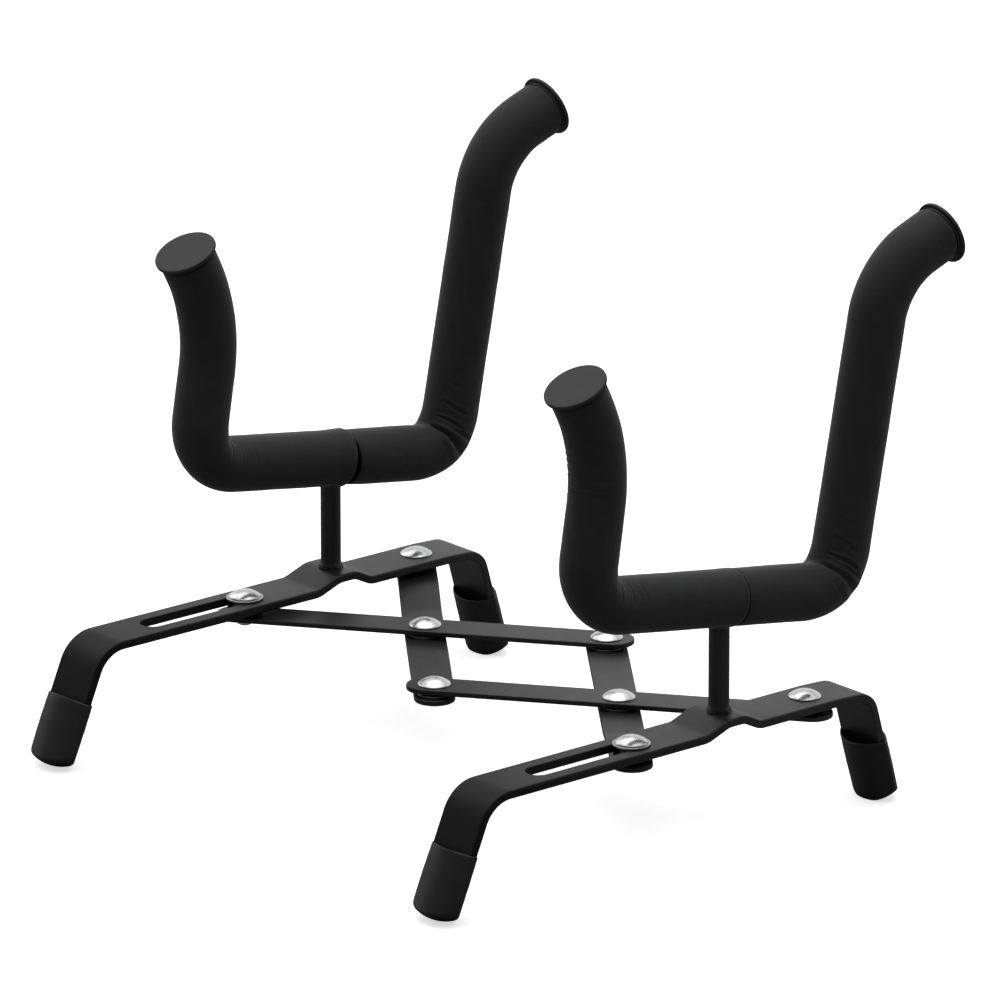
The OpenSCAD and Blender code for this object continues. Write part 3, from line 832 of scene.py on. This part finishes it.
for side, x0 in SIDES:
    seed, front_depth, rear_depth, arm = SLEEVES[side]
    front_folds = corner_folds(FRONT_CORNER, FRONT_FOLDS, seed + 1, front_depth,
                               reach=(0.9, 1.08), depths=(0.8, 1.2))
    rear_folds = corner_folds(REAR_CORNER, REAR_FOLDS, seed + 31, rear_depth,
                              reach=(0.92, 1.06), depths=(0.85, 1.15),
                              left_from=0.95, first_moves=False)
    foam_sleeve(f"{side}_front_foam_sleeve", f"{side}_front_foam", FRONT_PATH, x0, seed,
                front_ends(side),
                [(FRONT_CORNER.turn, front_folds),
                 (FRONT_UPPER.turn, arm_folds(FRONT_UPPER, seed + 5, **arm))],
                FRONT_CORNER, post_at=FRONT_PATH.length - JOINT_RUN)
    foam_sleeve(f"{side}_rear_foam_sleeve", f"{side}_rear_foam", REAR_PATH, x0, seed + 50,
                rear_ends(side), [(REAR_CORNER.turn, rear_folds)], REAR_CORNER, outer_bulge=1.3)


# ---------------------------------------------------------------- end caps
SPIGOT_R, SPIGOT_LEN = 2.0, 12.0


def end_cap(side, end, x0, tip, direction, tilt_x, tilt, phase, offset):
    """Push-in cap: a rounded disc with a lip, a neck that leaves a groove
    above the foam, and a spigot down into the rod.  tilt_x leans it towards
    +x, tilt leans it and offset moves it in the side plane."""
    square = np.array([-direction[1], direction[0]])
    neck = -CAP_T + 0.04
    profile = [(0, -0.16), (3.0, -0.15), (8.0, -0.08), (11.6, 0.0), (12.2, -0.02)]
    profile += arc(CAP_R - 0.62, -0.62, 0.62, 80, 0, 6)
    profile += arc(CAP_R - 0.35, -1.35, 0.35, 0, -90, 4)
    profile += [(12.9, -1.72), (12.25, -1.85), (12.05, -2.2), (12.0, neck), (SPIGOT_R, neck)]
    profile += [(SPIGOT_R, -CAP_T - SPIGOT_LEN + 0.6), (SPIGOT_R - 0.5, -CAP_T - SPIGOT_LEN)]
    profile += [(0, -CAP_T - SPIGOT_LEN)]
    axis = np.array([tilt_x, *(direction + square * tilt)])
    y, z = tip + offset * square
    turned_piece(f"{side}_{end}_cap", f"{side}_{end}_end_cap", profile, (x0, POST_Y + y, z),
                 [CAP], sharp=38, axis=axis, cols=112,
                 wobble=out_of_round(0.004, 0.003, phase, ratio=1.7))


# how each cap sits: lean towards +x, lean in the side plane, phase, offset
CAP_SEATS = {
    "left": ((0.012, -0.01, 0.4, 0.0), (0.02, 0.02, 1.4, 0.0)),
    "right": ((-0.01, 0.012, 2.1, 0.1), (0.015, -0.035, 3.1, -0.9)),
}
for side, x0 in SIDES:
    front_seat, rear_seat = CAP_SEATS[side]
    end_cap(side, "front", x0, TIP_FRONT, FRONT_DIR, *front_seat)
    end_cap(side, "rear", x0, TIP_REAR, REAR_DIR, *rear_seat)


# ---------------------------------------------------------------- flat plates
# Contours lie about the line y = 0 and are functions of how far they are grown.
def rounded_rect(length, width, corner_r):
    """Rectangle from x = 0 to length."""
    def contour(grow):
        r = corner_r + grow
        half_l, half_w = length / 2 + grow - r, width / 2 + grow - r
        points = []
        for sx, sy, start in ((1, 1, 0), (-1, 1, 90), (-1, -1, 180), (1, -1, 270)):
            points += arc(length / 2 + sx * half_l, sy * half_w, r, start, start + 90, 8)
        return points
    return contour


def stadium(x0, x1, radius):
    """Slot shape with round ends centred at x0 and x1."""
    def contour(grow):
        r = radius + grow
        return arc(x1, 0, r, -90, 90, 40) + arc(x0, 0, r, 90, 270, 40)
    return contour


def circle(x, radius):
    def contour(grow):
        r = radius + grow
        turns = [2 * pi * k / 48 for k in range(48)]
        return [(x + r * cos(turn), r * sin(turn)) for turn in turns]
    return contour


def plate_wall(bm, contour, thickness, bevel, outward):
    """Wall with rounded edges; returns its bottom and top rings."""
    steps = 4
    profile = []  # (inset, z)
    for k in range(steps + 1):
        turn = radians(90 * k / steps)
        profile.append((bevel * (1 - sin(turn)), -thickness / 2 + bevel * (1 - cos(turn))))
    profile += [(inset, -z) for inset, z in reversed(profile)]
    rings = []
    for inset, z in profile:
        points = contour(-inset if outward else inset)
        rings.append([bm.verts.new((x, y, z)) for x, y in points])
    count = len(rings[0])
    for a, b in zip(rings, rings[1:]):
        for j in range(count):
            k = (j + 1) % count
            bm.faces.new((a[j], a[k], b[k], b[j]) if outward else (a[k], a[j], b[j], b[k]))
    return rings[0], rings[-1]


def plate(outline, holes, thickness, bevel, hole_bevel):
    """Flat plate in the x, y plane about z = 0, as a bmesh in millimetres."""
    bm = bmesh.new()
    walls = [plate_wall(bm, outline, thickness, bevel, True)]
    walls += [plate_wall(bm, hole, thickness, hole_bevel, False) for hole in holes]
    for which, faces_up in ((0, False), (1, True)):
        rings = [wall[which] for wall in walls]
        flat = [vert for ring in rings for vert in ring]
        loops = [[Vector((vert.co.x, vert.co.y, 0)) for vert in ring] for ring in rings]
        for triangle in tessellate_polygon(loops):
            corners = [flat[i] for i in triangle]
            normal = (corners[1].co - corners[0].co).cross(corners[2].co - corners[0].co)
            if normal.length < 1e-9:
                continue
            if (normal.z > 0) != faces_up:
                corners.reverse()
            bm.faces.new(corners)
    bm.normal_update()
    return bm


def cut_across(bm, x):
    """Add edges across a plate so that it can bend at x."""
    bmesh.ops.bisect_plane(bm, geom=bm.verts[:] + bm.edges[:] + bm.faces[:], dist=1e-5,
                           plane_co=(x, 0, 0), plane_no=(1, 0, 0))


def finish_plate(name, node, bm):
    bmesh.ops.recalc_face_normals(bm, faces=bm.faces[:])
    mesh = bpy.data.meshes.new(name)
    bm.to_mesh(mesh)
    bm.free()
    mesh.materials.append(POWDER)
    mesh.shade_smooth()
    mesh.set_sharp_from_angle(angle=radians(32))
    thing = add_object(name, mesh)
    modifier = thing.modifiers.new("weighted_normals", "WEIGHTED_NORMAL")
    modifier.keep_sharp = True
    stand_for(thing, node)


def along_run(run, y):
    """Distance along the strip of a place y from the post on a level run."""
    return run.at + (y - run.start[0])


def base_strip(name, node, x0):
    slot_rear = SLOT_SPARE - PITCH / 2
    slot = stadium(along_run(FRONT_RUN, slot_rear - SLOT_TRAVEL),
                   along_run(FRONT_RUN, slot_rear), SLOT_W / 2)
    rivet_hole = circle(along_run(REAR_RUN, PITCH / 2), HOLE_R)
    bm = plate(rounded_rect(STRIP.length, STRIP_W, STRIP_CORNER_R), [slot, rivet_hole],
               STRIP_T, bevel=0.75, hole_bevel=0.45)
    for bend in STRIP.bends.values():
        count = max(2, ceil(abs(degrees(bend.turn)) / 3.0))
        for k in range(count + 1):
            cut_across(bm, bend.at + bend.length * k / count)
    # x in the plate is distance along the strip, y its width, z its thickness
    flat = np.array([vert.co[:] for vert in bm.verts])
    place, heading = STRIP.locate(flat[:, 0])
    place = place + np.stack([-np.sin(heading), np.cos(heading)], -1) * flat[:, 2:3]
    bent = np.stack([x0 - flat[:, 1], POST_Y + place[:, 0], place[:, 1]], -1)
    for vert, point in zip(bm.verts, bent):
        vert.co = point * MM
    finish_plate(name, node, bm)


def ramp_fall(distance):
    """How far down its ramp a lower bar is, 0 to 1, with rounded ends."""
    def soft(q):
        return 0.5 * (q + sqrt(q * q + 0.09 * 0.09))
    t = (distance - BEND_FROM) / (BEND_TO - BEND_FROM)
    return min(1.0, max(0.0, soft(t) - soft(t - 1)))


def link_bar(place, x, y, angle, z, climb=None):
    """Flat bar from its rivet at (x, y).  With climb "near" or "far" that end
    bends up to the upper bars' level, where it is riveted to its strip."""
    holes = [circle(part * BAR_LEN, HOLE_R) for part in (0, 0.5, 1)]
    bm = plate(stadium(-BAR_OVER, BAR_LEN + BAR_OVER, BAR_W / 2), holes, BAR_T,
               bevel=0.5, hole_bevel=0.15)
    if climb:
        start = BEND_FROM if climb == "near" else BAR_LEN - BEND_TO
        margin = 3
        for k in range(21):
            cut_across(bm, start - margin + (BEND_TO - BEND_FROM + 2 * margin) * k / 20)
    c, s = cos(angle), sin(angle)
    for vert in bm.verts:
        px, py, pz = vert.co
        if climb:
            from_end = px if climb == "near" else BAR_LEN - px
            pz += (UPPER_BOT - LOWER_BOT) * (1 - ramp_fall(from_end))
        vert.co = Vector((x + c * px - s * py, y + s * px + c * py, z + BAR_T / 2 + pz)) * MM
    finish_plate(f"{place}_bar", f"{place}_link", bm)


for side, x0 in SIDES:
    base_strip(f"{side}_strip", f"{side}_base_strip", x0)
link_bar("left_upper", -HALF, Y_FRONT, BAR_ANGLE, UPPER_BOT)
link_bar("right_upper", 0, Y_FRONT, BAR_ANGLE, UPPER_BOT)
link_bar("left_lower", -HALF, Y_REAR, -BAR_ANGLE, LOWER_BOT, climb="near")
link_bar("right_lower", 0, Y_REAR, -BAR_ANGLE, LOWER_BOT, climb="far")


# ---------------------------------------------------------------- posts
STUB_R = 3.0  # below the weld, in the strip
WELD_H, WELD_SPREAD = 2.9, 1.10


def post(side, x0, seed):
    """Round post with an uneven weld bead at its foot, ending just under the
    rod's centre line inside the foam."""
    phases = np.random.RandomState(seed).uniform(0, 6.28, 4)
    profile = [(0, 0.3 - STRIP_T), (STUB_R - 0.1, 0.3 - STRIP_T), (STUB_R, 0.6 - STRIP_T)]
    profile += [(STUB_R, -0.2)]
    weld_steps = 12
    for k in range(weld_steps + 1):
        t = k / weld_steps
        radius = POST_D / 2 + WELD_SPREAD * (1 - t) ** 1.3 + 0.22 * sin(pi * t) ** 2
        profile.append((radius if k else radius - 0.25, -0.12 + WELD_H * t))
    top = CRADLE_H - SEAT_TOP - 4.0
    for k in range(1, 9):
        profile.append((POST_D / 2, WELD_H + (top - 0.2 - WELD_H) * k / 8))
    profile += [(POST_D / 2 - 0.8, top), (0, top)]

    def wobble(angles, radius, height):
        if height > 3.2 or height < -0.15:
            return np.ones_like(angles)
        bead = (0.050 * np.sin(3 * angles + phases[0])
                + 0.035 * np.sin(5 * angles + phases[1])
                + 0.022 * np.sin(9 * angles + phases[2] + 2 * height)
                + 0.012 * np.sin(14 * angles + phases[3] - 3 * height))
        return 1 + (1 - height / 3.2) * bead

    turned_piece(f"{side}_post_tube", f"{side}_post", profile, (x0, POST_Y, SEAT_TOP),
                 [POWDER, WELD], sharp=45, wobble=wobble,
                 pick=lambda face: int(face.center.z < (SEAT_TOP + 2.6) * MM))


for i, (side, x0) in enumerate(SIDES):
    post(side, x0, seed=40 + i)


# ---------------------------------------------------------------- rubber feet
def lens_outline(half_w, half_t, tip_r):
    """Lens with its points rounded to tip_r, as points (x, y), counter-clockwise."""
    side_steps, tip_steps = 30, 8
    core_w, core_t = half_w - tip_r, half_t - tip_r
    core_r = (core_w * core_w + core_t * core_t) / (2 * core_t)
    top = asin(core_w / core_r)
    reach, sink = core_r + tip_r, core_r - core_t
    points = []
    for k in range(side_steps + 1):  # upper arc from right to left
        t = top - 2 * top * k / side_steps
        points.append((reach * sin(t), reach * cos(t) - sink))
    for k in range(1, tip_steps):  # left point
        t = (pi / 2 + top) + (pi - 2 * top) * k / tip_steps
        points.append((-core_w + tip_r * cos(t), tip_r * sin(t)))
    for k in range(side_steps + 1):  # lower arc from left to right
        t = -top + 2 * top * k / side_steps
        points.append((reach * sin(t), -reach * cos(t) + sink))
    for k in range(1, tip_steps):  # right point
        t = -(pi / 2 - top) + (pi - 2 * top) * k / tip_steps
        points.append((core_w + tip_r * cos(t), tip_r * sin(t)))
    return np.array(points)


def soft_limit(points, limit):
    """Pull points in to a distance from the middle, with a soft change-over."""
    blend = 1.1
    length = np.linalg.norm(points, axis=1)
    h = np.clip(0.5 + 0.5 * (length - limit) / blend, 0, 1)
    wanted = length * (1 - h) + limit * h - blend * h * (1 - h)
    wanted = np.clip(wanted, 0.02, None)
    return points * (wanted / np.maximum(length, 1e-6))[:, None]


FOOT_OUTER = lens_outline(half_w=13.9, half_t=7.8, tip_r=1.15)
FOOT_INNER = lens_outline(half_w=12.75, half_t=6.15, tip_r=0.45)


def rubber_foot(side, end, x0, bend, rake, toward, seed):
    """Lens-shaped boot on a leg, open at the top and domed below.  toward is
    -1 for a leg that leans to the front and 1 for one that leans to the rear."""
    down = np.array([toward * sin(rake), -cos(rake)])
    across = np.array([toward * cos(rake), sin(rake)])
    mouth = bend + (bend[1] - FOOT_MOUTH_H) / cos(rake) * down
    phases = np.random.RandomState(seed).uniform(0, 6.28, 6)
    rows = []

    def ring(outline, depth, scale=1.0, limit=None, sink=0.0):
        """One ring, depth below the mouth."""
        points = outline * scale
        if limit is not None:
            points = soft_limit(points, limit)
        angles = np.arctan2(points[:, 1], points[:, 0])
        wave = (0.10 * np.sin(2 * angles + phases[0] + depth * 0.09)
                + 0.07 * np.sin(3 * angles + phases[1] - depth * 0.12))
        points = points * (1 + wave[:, None] * 0.06)
        depths = np.full(len(points), depth) + sink
        yz = mouth + depths[:, None] * down + points[:, 1:2] * across
        rows.append(np.stack([x0 + points[:, 0], POST_Y + yz[:, 0],
                              np.maximum(yz[:, 1], 0.0)], -1))

    # inside of the mouth, from its floor up, over the wavy lip and down outside
    lip = 0.18 * np.sin(np.arctan2(FOOT_OUTER[:, 1], FOOT_OUTER[:, 0]) * 2 + phases[2])
    ring(FOOT_INNER, 9.0, scale=0.55)
    ring(FOOT_INNER, 8.6, scale=0.93)
    ring(FOOT_INNER, 6.0, scale=0.99)
    ring(FOOT_INNER, 1.2, sink=lip)
    for inner, depth in ((0.6, 0.22), (0.32, 0.0), (0.08, 0.18)):
        ring(FOOT_INNER * inner + FOOT_OUTER * (1 - inner), depth, sink=lip)
    ring(FOOT_OUTER, 0.7, sink=lip)
    for depth in np.arange(2.0, 20.0, 1.5):
        swell = 1 + 0.012 * sin(pi * (depth - 2) / 22) + 0.003 * sin(depth * 0.9 + phases[3])
        ring(FOOT_OUTER, depth, scale=swell)
    for turn in np.radians(np.linspace(38, 88.8, 26)):
        depth = FOOT_LEN - FOOT_DOME_R + FOOT_DOME_R * sin(turn)
        if depth >= 20.2:
            ring(FOOT_OUTER, depth, limit=FOOT_DOME_R * cos(turn))

    count = len(FOOT_OUTER)
    faces = grid_faces(len(rows), count)
    verts = np.concatenate(rows + [[rows[0].mean(0), rows[-1].mean(0)]])
    floor_vert = len(rows) * count
    tip_vert = floor_vert + 1
    last = floor_vert - count
    faces += [(floor_vert, (j + 1) % count, j) for j in range(count)]
    faces += [(tip_vert, last + j, last + (j + 1) % count) for j in range(count)]
    add_piece(f"{side}_{end}_rubber_foot", f"{side}_{end}_foot", verts, faces, [FOOT], sharp=50)


for i, (side, x0) in enumerate(SIDES):
    rubber_foot(side, "front", x0, FRONT_BEND, FRONT_RAKE, toward=-1, seed=60 + i)
    rubber_foot(side, "rear", x0, REAR_BEND, REAR_RAKE, toward=1, seed=70 + i)


# ---------------------------------------------------------------- rivets
def dome_radius(rim_r, height):
    return (rim_r * rim_r + height * height) / (2 * height)


def rivet(node, x, y, under_head, over_tail, phase, tail_h):
    """Domed rivet with a thin rim under its dome, a shank and a set tail."""
    head = under_head + FACE_GAP
    tail = over_tail - FACE_GAP
    dome_r = dome_radius(HEAD_R, HEAD_H - 0.45)
    reach = asin(HEAD_R / dome_r) * 0.985
    profile = []
    for k in range(23):
        t = reach * k / 22
        profile.append((dome_r * sin(t), head + HEAD_H - dome_r * (1 - cos(t))))
    profile += arc(HEAD_R - 0.16, head + 0.30, 0.16, 40, 0, 3)
    profile += arc(HEAD_R - 0.16, head + 0.18, 0.16, 0, -90, 3)
    profile += [(RIVET_R + 0.4, head + 0.02), (RIVET_R, head - 0.3), (RIVET_R, over_tail + 0.1)]
    profile += [(RIVET_R, tail), (TAIL_R - 0.3, tail)]
    profile += arc(TAIL_R - 0.3, tail - 0.3, 0.3, 90, 0, 4)
    dome_r = dome_radius(TAIL_R, tail_h - 0.35)
    reach = asin(TAIL_R / dome_r)
    for k in range(1, 13):
        t = reach * (1 - k / 12)
        profile.append((dome_r * sin(t), tail - tail_h + dome_r * (1 - cos(t))))
    turned_piece(f"{node}_domed", node, profile, (x, y, 0), [CHROME], sharp=40,
                 wobble=out_of_round(0.0035, 0.002, phase, ratio=2))


# node, x, y, face under the head, face over the tail, tail height
RIVETS = [
    # the tail at the left slot is set a little fuller than the rest
    ("left_slot_rivet", -HALF, Y_FRONT, WASHER_TOP, UPPER_BOT, TAIL_H + 1.2),
    ("left_rear_rivet", -HALF, Y_REAR, STRIP_TOP, UPPER_BOT, TAIL_H),
    ("left_cross_rivet", -HALF / 2, POST_Y, UPPER_TOP, LOWER_BOT, TAIL_H),
    ("front_centre_rivet", 0, Y_FRONT, UPPER_TOP, LOWER_BOT, TAIL_H),
    ("rear_centre_rivet", 0, Y_REAR, UPPER_TOP, LOWER_BOT, TAIL_H),
    ("right_cross_rivet", HALF / 2, POST_Y, UPPER_TOP, LOWER_BOT, TAIL_H),
    ("right_slot_rivet", HALF, Y_FRONT, WASHER_TOP, UPPER_BOT, TAIL_H),
    ("right_rear_rivet", HALF, Y_REAR, STRIP_TOP, UPPER_BOT, TAIL_H),
]
for i, (node, x, y, under_head, over_tail, tail_h) in enumerate(RIVETS):
    rivet(node, x, y, under_head, over_tail, 0.7 * i, tail_h)


# ---------------------------------------------------------------- rings
SPACER_R = 7.8


def ring_piece(name, node, x, y, bottom, top, outer_r, inner_r, material, rounding):
    edge = min(rounding, 0.45 * (top - bottom), 0.3 * (outer_r - inner_r))
    bore_edge = 0.3 * edge
    profile = arc(outer_r - edge, top - edge, edge, 90, 0, 4)
    profile += arc(outer_r - edge, bottom + edge, edge, 0, -90, 4)
    profile += [(inner_r + bore_edge, bottom), (inner_r, bottom + bore_edge)]
    profile += [(inner_r, top - bore_edge), (inner_r + bore_edge, top)]
    turned_piece(name, node, profile, (x, y, 0), [material], sharp=40)


def stacked_washer(node, x, y):
    """Black washer with a thin dull metal one under it, between two bars."""
    bottom, top = LOWER_TOP + FACE_GAP, UPPER_BOT - FACE_GAP
    seam = bottom + 0.55
    r = 7.4
    profile = [
        (r - 0.12, top), (r, top - 0.15), (r, seam + 0.28), (r - 0.35, seam + 0.06),
        (r - 0.35, seam), (r - 0.05, seam), (r + 0.20, seam - 0.12), (r + 0.37, seam - 0.38),
        (r + 0.37, bottom + 0.1), (r + 0.25, bottom), (HOLE_R, bottom), (HOLE_R, top),
    ]

    def pick(face):
        """Metal below the seam, except on the bore."""
        centre = face.center
        from_axis = hypot(centre.x / MM - x, centre.y / MM - y)
        return int(centre.z < (seam + 0.01) * MM and from_axis > HOLE_R + 0.5)

    turned_piece(f"{node}_ring", node, profile, (x, y, 0), [NYLON, ZINC], sharp=35, pick=pick)


for side, x0 in SIDES:
    ring_piece(f"{side}_slot_wide_washer", f"{side}_slot_washer", x0, Y_FRONT,
               STRIP_TOP + 2 * FACE_GAP, WASHER_TOP, 8.3, HOLE_R, ZINC, rounding=0.3)
    ring_piece(f"{side}_slot_bushing", f"{side}_slot_bush", x0, Y_FRONT,
               UPPER_TOP + FACE_GAP, STRIP_TOP + FACE_GAP,
               (SLOT_W - 0.2) / 2, HOLE_R, NYLON, rounding=0.3)
    for place, y, inner_r in (("slot", Y_FRONT, SLOT_W / 2), ("rear", Y_REAR, HOLE_R)):
        ring_piece(f"{side}_{place}_spacer_ring", f"{side}_{place}_spacer", x0, y,
                   UPPER_TOP + FACE_GAP, STRIP_UNDER - FACE_GAP,
                   SPACER_R, inner_r, NYLON, rounding=0.25)
stacked_washer("left_cross_washer", -HALF / 2, POST_Y)
stacked_washer("front_centre_washer", 0, Y_FRONT)
stacked_washer("rear_centre_washer", 0, Y_REAR)
stacked_washer("right_cross_washer", HALF / 2, POST_Y)

# the rods stay as the CAD made them; they are hidden inside the foam
for side, _ in SIDES:
    rod = frame["nodes"][f"{side}_cradle_rod"]
    rod.data.materials.clear()
    rod.data.materials.append(POWDER)


# ---------------------------------------------------------------- stage
# From here on places and sizes are in metres.
def floor_material():
    m = Material("floor_white")
    tint = m.noise(scale=1.5, detail=2, rough=0.5)
    m.paint(m.ramp(tint, [(0.3, 0.93), (0.7, 0.95)]))
    m.settings(Roughness=0.9, Specular_IOR_Level=0.05,
               Emission_Color=(1.0, 1.0, 1.0), Emission_Strength=0.62)
    # the rack itself sees a dim floor, so its undersides stay black
    dim = m.add("ShaderNodeBsdfDiffuse", {"Color": rgba(0.22)})
    seen = m.mix_shaders(m.camera_ray(), dim.outputs[0], m.shader.outputs[0])
    m.link(seen, m.out, "Surface")
    return m.material


def floor():
    mesh = bpy.data.meshes.new("floor")
    half = 30.0
    corners = [(-half, -half, 0), (half, -half, 0), (half, half, 0), (-half, half, 0)]
    mesh.from_pydata(corners, [], [(0, 1, 2, 3)])
    mesh.materials.append(floor_material())
    add_object("floor", mesh)


def area(name, place, target, size, power):
    light = bpy.data.lights.new(name, "AREA")
    light.shape = "RECTANGLE"
    light.size, light.size_y = size
    light.energy = power
    thing = add_object(name, light)
    thing.location = place
    thing.rotation_mode = "QUATERNION"
    thing.rotation_quaternion = (Vector(target) - Vector(place)).to_track_quat("-Z", "Y")


VIEW_AZIMUTH = 0.8667989  # radians

# brightness of the room by height, 0 straight down and 1 straight up
BEHIND_RACK = [(0.0, 0.85), (0.45, 0.80), (0.56, 0.70), (0.60, 0.36), (0.64, 0.36),
               (0.71, 0.85), (1.0, 1.15)]
CAMERA_SIDE = [(0.0, 0.17), (0.50, 0.14), (0.70, 0.25), (0.84, 1.0), (1.0, 1.15)]


def world():
    """White to the camera.  What lights the rack is a bright ceiling, a pale
    backdrop behind it and a dark room on the camera's side."""
    studio = bpy.data.worlds.new("studio")
    bpy.context.scene.world = studio
    studio.use_nodes = True
    tree = Tree(studio.node_tree)
    out = tree.add("ShaderNodeOutputWorld")
    direction = tree.add("ShaderNodeTexCoord").outputs["Generated"]
    parts = tree.add("ShaderNodeSeparateXYZ")
    tree.link(direction, parts, 0)
    back = tree.ramp(parts.outputs["Z"], BEHIND_RACK)
    front = tree.ramp(parts.outputs["Z"], CAMERA_SIDE)
    # how far a direction points away from the camera
    away = tree.add("ShaderNodeVectorMath", operation="DOT_PRODUCT")
    tree.link(direction, away, 0)
    away.inputs[1].default_value = (-sin(VIEW_AZIMUTH), cos(VIEW_AZIMUTH), 0.0)
    factor = tree.remap(away.outputs["Value"], span=(-0.15, 0.40), result=(0.0, 1.0),
                        interpolation_type="SMOOTHSTEP")
    room = tree.add("ShaderNodeMix", data_type="RGBA")
    tree.link(factor, room, 0)
    tree.link(front, room, 6)
    tree.link(back, room, 7)
    light = tree.add("ShaderNodeBackground", {"Strength": 1.0})
    tree.link(room.outputs[2], light, "Color")
    plain = tree.add("ShaderNodeBackground", {"Color": rgba(1.0), "Strength": 1.05})
    seen = tree.mix_shaders(tree.camera_ray(), light.outputs[0], plain.outputs[0])
    tree.link(seen, out, "Surface")


def camera():
    elevation, roll = 0.30924, -0.0001126  # radians
    distance = 4.82959
    aim_right, aim_up = 0.0040711, 0.1186659  # aim point in the view plane
    ca, sa = cos(VIEW_AZIMUTH), sin(VIEW_AZIMUTH)
    ce, se = cos(elevation), sin(elevation)
    level = np.array([ca, sa, 0])
    forward = np.array([-sa * ce, ca * ce, -se])
    upright = np.array([-sa * se, ca * se, ce])
    right = cos(roll) * level + sin(roll) * upright
    up = -sin(roll) * level + cos(roll) * upright
    place = aim_right * right + aim_up * up - distance * forward
    data = bpy.data.cameras.new("view")
    data.sensor_width = 36
    data.lens = 399.00996
    data.clip_start, data.clip_end = 0.1, 100
    view = add_object("view", data)
    rows = [(right[i], up[i], -forward[i], place[i]) for i in range(3)]
    view.matrix_world = Matrix((*rows, (0, 0, 0, 1)))
    bpy.context.scene.camera = view


floor()
world()
area("softbox_top", place=(-0.25, 0.15, 1.5), target=(0, 0, 0.08), size=(1.1, 1.1), power=4.5)
area("softbox_left", place=(-1.3, -0.2, 0.9), target=(0, 0, 0.12), size=(0.7, 0.8), power=1.6)
camera()
bpy.context.scene.view_settings.view_transform = "Standard"
